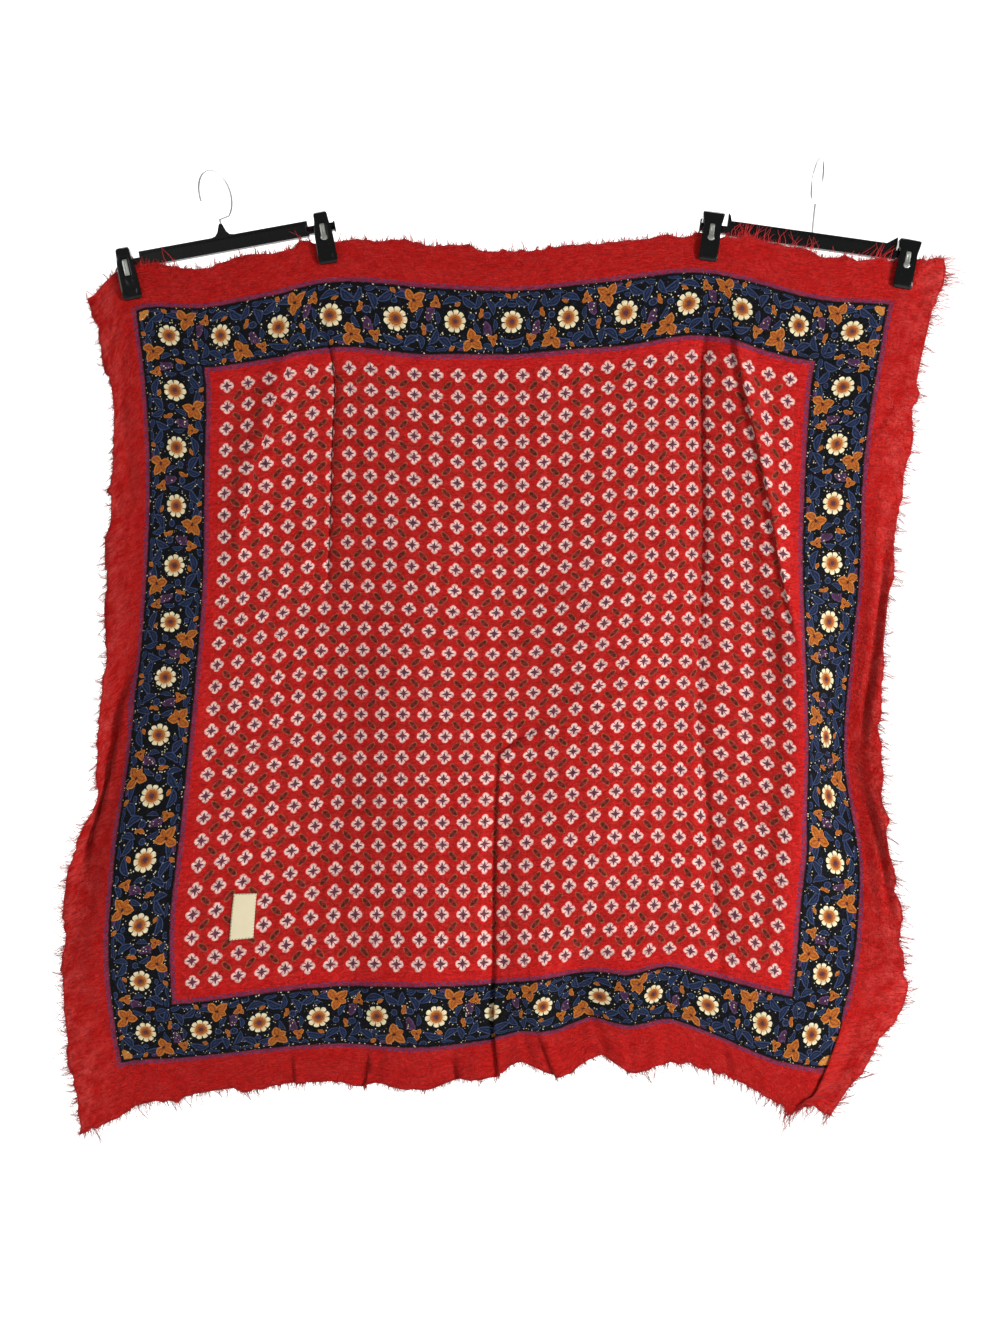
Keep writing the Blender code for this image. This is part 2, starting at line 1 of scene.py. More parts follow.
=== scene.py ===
import math
import random
from functools import partial

import bmesh
import bpy
import numpy as np
from mathutils import Matrix, Vector


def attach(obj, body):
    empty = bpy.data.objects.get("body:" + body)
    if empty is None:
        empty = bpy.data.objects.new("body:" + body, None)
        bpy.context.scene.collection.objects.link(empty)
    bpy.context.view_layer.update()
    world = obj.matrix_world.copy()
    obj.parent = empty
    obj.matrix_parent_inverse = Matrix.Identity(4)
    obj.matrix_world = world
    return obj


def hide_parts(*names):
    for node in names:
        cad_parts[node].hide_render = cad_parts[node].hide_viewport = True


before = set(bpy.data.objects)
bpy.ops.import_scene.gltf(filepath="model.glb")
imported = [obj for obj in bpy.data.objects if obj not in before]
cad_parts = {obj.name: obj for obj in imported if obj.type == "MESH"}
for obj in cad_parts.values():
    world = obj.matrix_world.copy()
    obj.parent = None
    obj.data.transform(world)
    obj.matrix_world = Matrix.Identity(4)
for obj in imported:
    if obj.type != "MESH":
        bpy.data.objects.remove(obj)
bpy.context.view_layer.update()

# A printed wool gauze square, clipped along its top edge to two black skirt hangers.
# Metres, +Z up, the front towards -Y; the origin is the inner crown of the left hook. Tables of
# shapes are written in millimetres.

# The flat square, as it was woven and printed
FLOWERS = 28
PITCH = 0.025
BAND = 0.070
MARGIN = 0.058
SIDE = (FLOWERS + 1) * PITCH + 2 * (BAND + MARGIN)
CLOTH_PLANE = -0.007
CLOTH_THICK = 0.0005
LINES_ACROSS, LINES_DOWN = 244, 200
FINE_ACROSS = ((0.236, 0.296), (0.480, 0.508), (0.702, 0.800), (0.905, 0.965))
FINE_SHARE = 0.9
FINE_SAMPLES = 6000

# The label's corners on the flat cloth, down and across, from the top left round to the foot
# left: the tape keeps its own shape where the cloth under it leans
LABEL_CORNERS = ((0.739, 0.195), (0.743, 0.219), (0.790, 0.218), (0.788, 0.193))
LABEL_LIFT = 0.0014
LABEL_THICK = 0.0006
LABEL_SIZE = (0.0245, 0.0485)
LABEL_GRID = (26, 15)
STITCH_REACH, STITCH_HALF_PITCH, STITCH_HALF_WIDTH = 0.0012, 0.0017, 0.0004

# Flat distance across of each column in the two tables below
COLUMNS = [0.0, MARGIN, MARGIN + BAND, 0.278, SIDE / 2, 0.715]
COLUMNS += [SIDE - MARGIN - BAND, SIDE - MARGIN, SIDE]
# Where each section of the scarf hangs, left to right: X at the nine columns
# down, left hem, band, ground, left crease, middle, right crease, ground, band, right hem
SECTIONS_X = (
    (0, -153, -92, -15, 134, 347, 569, 721, 795, 847),
    (58, -130, -88, -11, 135, 346, 567, 706, 781, 835),
    (128, -120, -81, -9, 135, 345, 563, 694, 768, 819),
    (253, -125, -76, -13, 133, 342, 561, 682, 749, 796),
    (378, -129, -83, -17, 127, 338, 558, 676, 744, 779),
    (478, -136, -93, -26, 117, 328, 551, 676, 732, 768),
    (578, -148, -107, -38, 112, 321, 543, 677, 724, 764),
    (678, -183, -126, -51, 106, 315, 540, 671, 736, 774),
    (753, -190, -133, -63, 101, 312, 535, 665, 734, 782),
    (853, -188, -130, -63, 93, 310, 525, 654, 715, 777),
    (923, -180, -122, -57, 91, 310, 527, 638, 692, 733),
    (981, -173, -113, -48, 91, 311, 532, 626, 658, 701),
)
# The same sections' heights: Z at the nine columns
SECTIONS_Z = (
    (0, -147, -113, -112, -84, -99, -88, -115, -124, -122),
    (58, -200, -162, -160, -133, -148, -131, -166, -172, -179),
    (128, -268, -227, -228, -207, -220, -201, -235, -236, -245),
    (253, -384, -350, -352, -332, -348, -330, -360, -360, -372),
    (378, -509, -481, -478, -460, -472, -457, -487, -493, -505),
    (478, -608, -577, -575, -559, -567, -556, -585, -597, -609),
    (578, -707, -677, -676, -660, -661, -655, -686, -698, -708),
    (678, -813, -791, -779, -762, -760, -757, -788, -805, -817),
    (753, -892, -875, -865, -840, -839, -837, -866, -885, -896),
    (853, -986, -967, -965, -950, -949, -938, -970, -981, -984),
    (923, -1056, -1030, -1026, -1014, -1012, -998, -1043, -1054, -1057),
    (981, -1115, -1087, -1073, -1059, -1051, -1040, -1089, -1104, -1104),
)

# Folds run down the cloth: down at each end, the length over which each end fades, across at
# the top, middle and foot of the run, half width, and height to the front (hollows negative)
FOLDS = {
    "left clip pull": (60, 420, 100, 262, 188, 168, 20, 6),
    "left crease": (60, 460, 120, 278, 278, 276, 16, -5),
    "centre fold": (110, 420, 140, 508, 510, 512, 16, 3),
    "right crease": (70, 900, 120, 714, 721, 776, 18, -6),
    "right clip pull": (60, 560, 120, 726, 806, 842, 22, 10),
    "right ground ridge": (300, 900, 220, 838, 842, 835, 30, 13),
    "right band hollow": (180, 900, 280, 905, 925, 915, 40, -25),
    "right margin curl": (100, 700, 240, 968, 985, 985, 30, -6),
    "lower centre crease": (560, 981, 200, 492, 491, 490, 16, -9),
    "left margin hollow": (380, 880, 200, 40, 20, 12, 28, -16),
    "left flare": (600, 981, 200, 30, 20, 30, 50, 14),
    "left ground swell": (60, 900, 380, 130, 135, 150, 70, 7),
    "left middle swell": (100, 981, 300, 380, 390, 400, 85, 10),
    "right middle swell": (80, 981, 420, 610, 600, 590, 80, 12),
    "middle hollow": (200, 981, 350, 300, 290, 290, 60, -8),
    "hem hollow left": (760, 981, 140, 320, 325, 330, 24, -10),
    "hem ridge left": (760, 981, 160, 400, 405, 410, 34, 12),
    "hem ridge centre": (790, 981, 140, 545, 550, 555, 24, 10),
    "hem hollow right": (760, 981, 160, 590, 600, 605, 26, -18),
    "hem ridge right": (800, 981, 140, 660, 665, 670, 34, 10),
    "corner fold": (830, 981, 130, 925, 935, 945, 26, -16),
}
# Sharper creases: down and across where each starts and ends, how far its middle bows aside,
# half width, and height to the front
CREASES = {
    "left clip rib": (70, 266, 300, 196, -10, 6, 3),
    "left crease line": (75, 281, 440, 277, 0, 4.5, -3.6),
    "left crease rib": (80, 289, 420, 285, 0, 6, 2.6),
    "right crease upper": (80, 716, 520, 720, 1, 4.8, -5),
    "right crease lower": (480, 719, 860, 768, -6, 4.8, -4),
    "right crease rib": (100, 706, 640, 714, 2, 7, 2.8),
    "right clip rib": (80, 746, 380, 820, 14, 7, 3),
    "right pull second": (90, 735, 240, 790, 10, 5.5, 2.2),
    "centre line": (120, 509, 400, 512, 0, 6, -1.8),
    "lower centre branch": (600, 486, 572, 545, 4, 5.5, -2.4),
    "middle short crease": (492, 404, 484, 440, 1, 4.5, -3.4),
    "middle upper short crease": (400, 380, 408, 402, 1, 4.5, -1.8),
    "left margin outer": (560, 24, 690, 10, 3, 7, -6),
    "left margin upper": (120, 18, 260, 34, -6, 10, -4),
    "left hem flute": (150, 4, 220, 18, 2, 8, 3.4),
    "left corner slant": (800, 4, 930, 56, 12, 10, -3.4),
    "left foot slant": (870, 30, 975, 110, 10, 11, 3.4),
    "foot pleat first": (925, 360, 981, 352, 1, 6, -4.2),
    "foot pleat second": (930, 440, 981, 446, -2, 5.5, -4.6),
    "foot pleat third": (935, 468, 981, 462, 1, 5, 3.6),
    "foot pleat fourth": (925, 524, 981, 530, 2, 5, -4.6),
    "foot bow": (950, 520, 953, 588, 10, 5, -3.4),
    "foot pleat fifth": (900, 604, 981, 618, 1, 6, -5),
    "foot pleat sixth": (935, 680, 981, 674, 1, 6.5, 3.4),
    "foot pleat seventh": (930, 770, 981, 780, 1, 7, -3),
    "right margin streak one": (20, 950, 6, 981, 0, 4, -2),
    "right margin streak two": (34, 950, 24, 981, 1, 4, -2.2),
    "right margin streak three": (48, 950, 46, 981, 1, 4.2, -2.2),
    "right margin streak four": (60, 950, 72, 981, 1, 4.6, -2.2),
    "left margin streak one": (18, 36, 6, 0, 0, 4.5, -2),
    "left margin streak two": (52, 36, 70, 4, 1, 4.8, -2.4),
    "left margin streak three": (66, 46, 110, 20, 2, 5.5, -2.4),
    "right margin fold": (300, 962, 560, 952, 4, 9, -6),
    "right margin crook": (600, 948, 760, 968, 4, 8, -4),
}
# Where the cloth is gathered together, or laps over itself: down and across where the run starts
# and ends, bow, half width, how far its two sides slide together, and how far the right-hand
# one then lies in front of the left
LAPS = {
    "left clip gather": (76, 252, 380, 168, -12, 8, 7.2, -6),
    "left crease gather": (80, 281, 420, 278, 0, 7, 4, -4),
    "right clip gather": (78, 737, 500, 846, 10, 8.5, 8, 8),
    "lower centre crease": (560, 492.5, 960, 492.5, 0, 6, 4, 6),
    "lower centre lap": (845, 492.5, 1080, 494, 0, 7.5, 12, 6),
    "lower centre branch": (606, 488, 566, 552, 4, 6, 4.4, -5),
    "left margin lap": (480, 46, 670, 22, 0, 8, 16, 7.5),
    "hem lap left": (925, 350, 1070, 338, 0, 6.5, 12, 6),
    "hem lap right": (930, 606, 1070, 622, 0, 6.5, 9, -5),
    "hem gather centre": (940, 444, 1070, 453, 0, 6, 5, 4),
    "hem tuck right": (915, 545, 1070, 572, 0, 6, 7, 5),
    "hem tuck far right": (925, 642, 1060, 632, 0, 6, 7, -4.5),
    "hem tuck left": (930, 262, 1060, 270, 0, 6.5, 5.5, 4.5),
    "corner lap": (866, 924, 1080, 957, 0, 8, 29, 9.5),
}
# The lower edge rises and dips between the sections: across, half width, how far up it
# reaches, and the rise
HEM_WAVES = {
    "left dip": (400, 60, 110, -13),
    "tip": (412, 20, 40, -6),
    "centre rise": (520, 26, 160, 9),
    "centre tip": (565, 20, 50, -10),
    "right rise": (608, 24, 150, 12),
    "right dip": (660, 30, 80, -6),
    "corner notch": (946, 16, 30, 14),
}
# Local pulls that shift the cloth sideways and up: down and across, reach down and across, X, Z
PULLS = {
    "top left corner": (0, 26, 28, 28, 0, 8),
    "top left corner in": (8, 0, 30, 28, 9, 0),
    "left flare shoulder": (700, 0, 50, 50, 5, 2),
    "left margin above": (505, 0, 50, 40, -6, 0),
    "left margin waist": (612, 0, 36, 40, 5, 0),
    "left crease columns": (180, 262, 40, 40, 3, 0),
    "top band by left outer clip": (90, 170, 38, 58, -14, -2),
    "top band by left inner clip": (90, 285, 38, 58, -13, -2),
    "top band by right inner clip": (90, 700, 38, 60, 11, 0),
    "top band by right outer clip": (90, 810, 38, 55, 10, 0),
    "top band dip": (90, 222, 40, 40, 0, -6),
    "top sag left": (115, 375, 70, 50, 0, -6),
    "top sag right": (118, 630, 70, 60, 0, -9),
    "right band dip": (690, 888, 35, 40, 5, -9),
    "bottom band beside the lap": (900, 575, 55, 55, -12, 2),
    "bottom band right": (900, 712, 55, 60, -9, 2),
    "hem under right bar": (0, 772, 30, 30, 0, 8),
    "hem by right outer clip": (0, 902, 30, 20, 0, 6),
    "right margin middle": (520, 981, 40, 40, -3, 0),
    "bottom band bump": (870, 655, 60, 22, 0, -6),
    "bottom band crest": (880, 708, 60, 22, 0, 5),
    "hem by the lap": (981, 484, 24, 18, 0, -7),
    "hem dip centre": (981, 548, 22, 22, 0, -6),
    "hem dip centre right": (981, 640, 36, 36, 0, -15),
    "hem dip right": (981, 715, 30, 30, 0, -6),
}
# Flat middle of each clip's grip, which holds the cloth flat, and the grip's reach
GRIPS_ACROSS = (0.053, 0.272, 0.723, 0.934)
GRIP_HALF_WIDTH = 0.013
GRIP_DOWN = 0.056
GRIP_FADE_ACROSS, GRIP_FADE_DOWN = 0.010, 0.012

# Crinkles from wear and folding: how many, shortest and longest, half width and height
CRINKLES = 520
CRINKLE_LENGTH = (0.012, 0.070)
CRINKLE_HALF_WIDTH = (0.0036, 0.0070)
CRINKLE_HEIGHT = 0.00075
CRINKLE_SEED = 11
# Most crinkles run down the cloth and the rest across it: mean turn and spread, in radians
CRINKLES_DOWN, DOWN_TURN, ACROSS_TURN = 0.7, (0.0, 0.55), (1.6, 0.5)
CRINKLE_BOW = 0.05

# How far the edge strays from thread to thread, and in longer rags, as shares of the grid's
# last step
FRAY = 0.20
RAGS = 0.85
RAG_LINES = 4
RAG_LIMITS = (-0.75, 0.9)
FRAY_SEED = 5


# Finishes


def srgb(code):
    """A hex colour such as #a81d18 as linear red, green, blue and 1."""
    channels = [int(code[i : i + 2], 16) / 255 for i in (1, 3, 5)]
    linear = [c / 12.92 if c <= 0.04045 else ((c + 0.055) / 1.055) ** 2.4 for c in channels]
    return (*linear, 1.0)


def feed(tree, node, inputs):
    """Gives a node's inputs their links, their plain values, or colours from hex codes."""
    for place, value in inputs:
        if isinstance(value, bpy.types.NodeSocket):
            tree.links.new(value, node.inputs[place])
        else:
            node.inputs[place].default_value = srgb(value) if isinstance(value, str) else value


def add_node(tree, kind, inputs=(), output=0, **settings):
    """Adds a node, sets its properties, feeds its inputs and returns one output, or all where
    output is None. The kind may be followed by the node's operation."""
    kind, *operation = kind.split()
    node = tree.nodes.new("ShaderNode" + kind)
    for name, value in (*settings.items(), *(("operation", each) for each in operation)):
        setattr(node, name, value)
    feed(tree, node, inputs.items() if isinstance(inputs, dict) else enumerate(inputs))
    return node.outputs if output is None else node.outputs[output]


def set_shader(finish, **values):
    """Gives sockets of a finish's own shader their links or values, and returns the finish."""
    tree = finish.node_tree
    inputs = [(socket.replace("_", " "), value) for socket, value in values.items()]
    feed(tree, tree.nodes["Principled BSDF"], inputs)
    return finish


def new_finish(name, **values):
    """A material with its shader's own sockets set, and the function that adds its nodes."""
    finish = bpy.data.materials.new(name)
    finish.use_nodes = True
    return set_shader(finish, **values), partial(add_node, finish.node_tree)


def laid(add, ground, layers):
    """Prints colours over a ground, each where its cover is 1."""
    for cover, colour in layers:
        ground = add("Mix", {0: cover, 6: ground, 7: colour}, 2, data_type="RGBA")
    return ground


def filled(add, ground, far, steps, where=None):
    """Prints colours over a ground, each where `far` is below its own limit."""
    for limit, colour in steps:
        cover = add("Math LESS_THAN", [far, limit])
        if where is not None:
            cover = add("Math MULTIPLY", [cover, where])
        ground = laid(add, ground, [(cover, colour)])
    return ground


# The print, charted in millimetres from the scarf's middle. A band cell is 66.25 mm long and
# 70 mm wide about its daisy; x runs along the band and y across it, and y turns over from one
# cell to the next
CELL = 66.25
BAND_MIDDLE = 6 * CELL
BAND_HALF = 35.0
LAST_CELL = 5.5
DAISY_PETALS = 9
FIELD_PITCH = 25.0
FIELD_REACH, LEAF_REACH = 350.0, 345.0

# Leaves: middle x and y, turn in degrees, half length, half width, bend
BLUE_LEAVES = (
    (-7.0, 25.5, 12, 9.5, 3.8, 0.9),
    (10.5, 21.5, -38, 10.5, 4.2, -0.8),
    (23.0, 17.5, 62, 10.0, 4.0, 0.9),
    (19.0, -3.5, 95, 7.0, 2.6, 0.7),
    (-15.5, -19.5, -32, 11.0, 4.2, 0.9),
    (4.0, -23.5, 14, 11.5, 4.2, -0.9),
    (-28.0, -21.0, 74, 9.0, 3.6, 0.8),
    (-24.5, 7.0, 118, 7.5, 2.8, -0.7),
    (27.5, -26.5, 24, 7.5, 3.2, 0.8),
    (28.0, 29.5, -14, 7.5, 3.2, -0.6),
    (14.5, 31.0, 6, 7.0, 2.4, 0.6),
    (-12.0, -31.0, 8, 8.0, 2.6, -0.6),
)
# Curled buds in the same blue, as ovals: middle x and y, turn, half length, half width
BLUE_CURLS = (
    (29.0, 7.0, 10, 4.6, 4.0),
    (-19.5, -5.0, 0, 3.9, 3.6),
    (15.0, -31.0, -10, 4.2, 3.4),
    (-30.0, 31.0, 20, 4.0, 3.4),
    (2.0, 18.8, 0, 3.4, 2.6),
)
# Ochre blossoms and buds, petal by petal, as pointed leaves
OCHRE_PETALS = (
    (-24.5, 24.0, 152, 8.6, 5.2, 0.3),
    (-14.6, 25.6, 58, 8.4, 5.0, -0.3),
    (-19.0, 15.0, -78, 7.6, 5.4, 0.0),
    (-24.8, 17.6, 205, 5.6, 3.6, 0.0),
    (24.0, -18.0, 34, 5.2, 3.2, 0.2),
    (19.8, -17.4, 122, 4.6, 2.8, 0.0),
    (21.6, -22.0, -84, 5.2, 2.8, 0.0),
    (-30.4, -7.6, 62, 4.8, 2.6, 0.0),
    (-31.8, -11.4, 128, 4.0, 2.3, 0.0),
    (4.0, 29.8, 48, 4.4, 2.4, 0.0),
    (-3.4, -18.4, 28, 4.2, 2.2, 0.0),
)
OCHRE_HEARTS = ((-19.4, 20.6, 20, 2.2, 1.5), (21.6, -19.0, 0, 1.2, 0.9))
# Purple tulips
PLUM_PETALS = (
    (30.0, -7.2, 84, 7.6, 5.4, 0.0),
    (26.8, -10.2, 58, 6.4, 3.2, 0.4),
    (33.4, -10.0, 116, 6.4, 3.2, -0.4),
    (-9.0, 32.0, 4, 6.4, 3.4, 0.6),
)
# The ochre blossom in each outer corner, where the mirrored cells meet
CORNER_PETALS = ((24.0, 29.5, 80, 5.4, 3.6, 0.3), (29.0, 28.0, 40, 5.6, 3.6, 0.0))
# On the red ground: a flower's dark arm, and the leaf between flowers with its two spots
FLOWER_ARM = ((1.0, 0.0, 0, 4.9, 1.35, 0.0),)
FIELD_LEAF = ((0.0, 0.0, 45, 7.2, 3.2),)
LEAF_SPOTS = ((2.0, 2.0, 45, 2.0, 1.4), (-2.0, -2.0, 45, 2.0, 1.4))


def nearest(add, place, rows, shape):
    """How far inside the nearest of some petals each place lies: 0 in the middle, 1 at the edge."""
    least = None
    for x, y, turn, half_length, half_width, *bend in rows:
        size = (half_length, half_width, 1.0)
        turned = (0, 0, math.radians(turn))
        inputs = {"Vector": place, "Location": (x, y, 0), "Rotation": turned, "Scale": size}
        far = shape(add, add("Mapping", inputs, vector_type="TEXTURE"), *bend)
        least = far if least is None else add("Math MINIMUM", [far, least])
    return least


def oval(add, own):
    """How far out a place lies in an oval, from its own coordinates."""
    return add("VectorMath LENGTH", [own], "Value")


def leaf(add, own, bend):
    """The same for a leaf with a point at both ends, bent sideways."""
    x, y, z = add("SeparateXYZ", [own], None)
    along = add("Math MULTIPLY", [x, x])
    aside = add("Math MULTIPLY_ADD", [along, bend, y])
    return add("Math ADD", [along, add("Math ABSOLUTE", [aside])])


def ripples(add, number, **noise):
    """Thin wavy lines that follow the levels of a noise."""
    return add("Math SINE", [add("Math MULTIPLY", [add("TexNoise", noise), number])])


def band_print(add, chart, along, out, cell):
    """The dark band: leaves, blossoms and tulips in each cell, a daisy in its middle, dots."""
    over = add("Math MULTIPLY_ADD", [add("Math PINGPONG", [cell, 1.0]), -2.0, 1.0])
    place = add("CombineXYZ", [along, add("Math MULTIPLY", [out, over])])

    # Thin scrolls fill the ground between the leaves
    scroll = ripples(add, 26.0, Vector=chart, Scale=0.17, Detail=1.0, Distortion=0.9)
    scroll = add("Math GREATER_THAN", [scroll, 0.80])
    colour = laid(add, "#050504", [(scroll, "#101628")])

    leaves = nearest(add, place, BLUE_LEAVES, leaf)
    leaves = add("Math MINIMUM", [leaves, nearest(add, place, BLUE_CURLS, oval)])
    vein = add("Math COMPARE", [leaves, 0.42, 0.09])
    colour = filled(add, colour, leaves, ((1.0, "#42527a"), (0.80, "#273557")))
    colour = laid(add, colour, [(vein, "#0a0e18")])
    plum = nearest(add, place, PLUM_PETALS, leaf)
    colour = filled(add, colour, plum, ((1.0, "#64426a"), (0.62, "#4a2c4c")))

    corner = add("Math GREATER_THAN", [cell, LAST_CELL])
    beyond = nearest(add, place, CORNER_PETALS, leaf)
    colour = filled(add, colour, beyond, ((1.0, "#d88c40"),), corner)
    ochre = nearest(add, place, OCHRE_PETALS, leaf)
    vein = add("Math COMPARE", [ochre, 0.40, 0.08])
    colour = filled(add, colour, ochre, ((1.0, "#d88c40"), (0.80, "#c26a26")))
    colour = laid(add, colour, [(vein, "#8c4820")])
    heart = nearest(add, place, OCHRE_HEARTS, oval)
    colour = filled(add, colour, heart, ((1.0, "#4e2328"),))

    # Short dark strokes break up the leaves and petals, as a cut block leaves them
    stroke = ripples(add, 30.0, Vector=chart, Scale=0.50, Detail=1.0, Distortion=2.4)
    stroke = add("MapRange", {0: stroke, 1: 0.2, 2: 1.0, 4: 0.60})
    colour = laid(add, colour, [(stroke, "#0b0b10")])

    # Cream dots in loose clusters
    dots = {"Vector": chart, "Scale": 1 / 3.1, "Randomness": 0.85}
    dot = add("Math LESS_THAN", [add("TexVoronoi", dots, "Distance"), 0.24])
    cluster = add("TexNoise", {"Vector": chart, "Scale": 0.15, "Detail": 0.0})
    clear = add("Math MINIMUM", [leaves, ochre])
    for level, limit in ((cluster, 0.44), (clear, 1.06)):
        dot = add("Math MULTIPLY", [dot, add("Math GREATER_THAN", [level, limit])])
    rim = add("Math GREATER_THAN", [add("Math ABSOLUTE", [out]), BAND_HALF - 2.6])
    colour = laid(add, colour, [(rim, "#070706"), (dot, "#e6deba")])

    # The daisy, each turned its own way
    local = add("VectorMath WRAP", [chart, (CELL / 2,) * 3, (-CELL / 2,) * 3])
    index = add("VectorMath SUBTRACT", [chart, local])
    chance = add("TexWhiteNoise", {"Vector": index}, "Value", noise_dimensions="3D")
    x, y, z = add("SeparateXYZ", [local], None)
    far = add("VectorMath LENGTH", [local], "Value")
    turn = add("Math MULTIPLY", [chance, 6.0])
    angle = add("Math MULTIPLY_ADD", [add("Math ARCTAN2", [y, x]), DAISY_PETALS / 2, turn])
    petal = add("Math ABSOLUTE", [add("Math COSINE", [angle])])
    reach = add("Math MULTIPLY_ADD", [add("Math POWER", [petal, 0.40]), 3.0, 9.6])
    gap = add("Math MULTIPLY_ADD", [far, 0.058, -0.33])
    inside = add("Math LESS_THAN", [far, reach])
    inside = add("Math MULTIPLY", [inside, add("Math GREATER_THAN", [petal, gap])])
    tint = add("MapRange", {0: far, 1: 6.2, 2: 9.8})
    petals = laid(add, "#c88a3c", [(tint, "#f2e4bc")])
    disc = add("Math MULTIPLY_ADD", [petal, 0.9, 6.2])
    colour = filled(add, colour, far, ((14.0, "#070706"),))
    colour = laid(add, colour, [(inside, petals)])
    return filled(add, colour, far, ((disc, "#b8662a"), (4.6, "#8d4c25"), (2.6, "#5c3342")))


def field_print(add, chart, reach):
    """The red ground: four-petalled flowers 25 mm apart, with a leaf turned each way between."""
    half = FIELD_PITCH / 2
    limits = [(half,) * 3, (-half,) * 3]
    shifted = add("VectorMath SUBTRACT", [chart, (half, half, 0)])
    local = add("VectorMath WRAP", [shifted, *limits])
    x, y, z = add("SeparateXYZ", [add("VectorMath ABSOLUTE", [local])], None)
    longer = add("Math MAXIMUM", [x, y])
    shorter = add("Math MINIMUM", [x, y])
    folded = add("CombineXYZ", [longer, shorter])

    # The ground is worn darker between the flowers
    worn = add("VectorMath LENGTH", [local], "Value")
    worn = add("MapRange", {0: worn, 1: 9.0, 2: 15.5})
    faded = add("MapRange", {0: reach, 1: 344.0, 2: 326.0})
    worn = add("Math MULTIPLY", [worn, faded])
    colour = laid(add, "#c81412", [(worn, "#a61a12")])

    # The leaf between, turned over from one cell to the next
    cell = add("VectorMath ADD", [chart, (half, half, 0)])
    cell = add("VectorMath SNAP", [cell, (FIELD_PITCH, FIELD_PITCH, 1.0)])
    i, j, k = add("SeparateXYZ", [cell], None)
    turned_over = add("Math PINGPONG", [add("Math ADD", [i, j]), FIELD_PITCH])
    over = add("Math MULTIPLY_ADD", [turned_over, -2 / FIELD_PITCH, 1.0])
    x, y, z = add("SeparateXYZ", [add("VectorMath WRAP", [chart, *limits])], None)
    place = add("CombineXYZ", [x, add("Math MULTIPLY", [y, over])])
    inner = add("Math LESS_THAN", [reach, LEAF_REACH])
    spray = nearest(add, place, FIELD_LEAF, oval)
    colour = filled(add, colour, spray, ((1.0, "#a4583a"), (0.82, "#7a271e")), inner)
    spots = nearest(add, place, LEAF_SPOTS, oval)
    colour = filled(add, colour, spots, ((1.0, "#3a1d19"),), inner)

    petal = add("VectorMath DISTANCE", [folded, (4.3, 0, 0)], "Value")
    within = add("Math LESS_THAN", [reach, FIELD_REACH])
    colour = filled(add, colour, petal, ((4.0, "#fba79c"), (3.2, "#ffdbd2")), within)
    flower = add("Math MULTIPLY", [add("Math LESS_THAN", [petal, 4.0]), within])
    between = add("Math SUBTRACT", [longer, shorter])
    colour = filled(add, colour, between, ((0.50, "#a04448"),), flower)
    arm = nearest(add, folded, FLOWER_ARM, leaf)
    return filled(add, colour, arm, ((1.0, "#54384c"),), within)


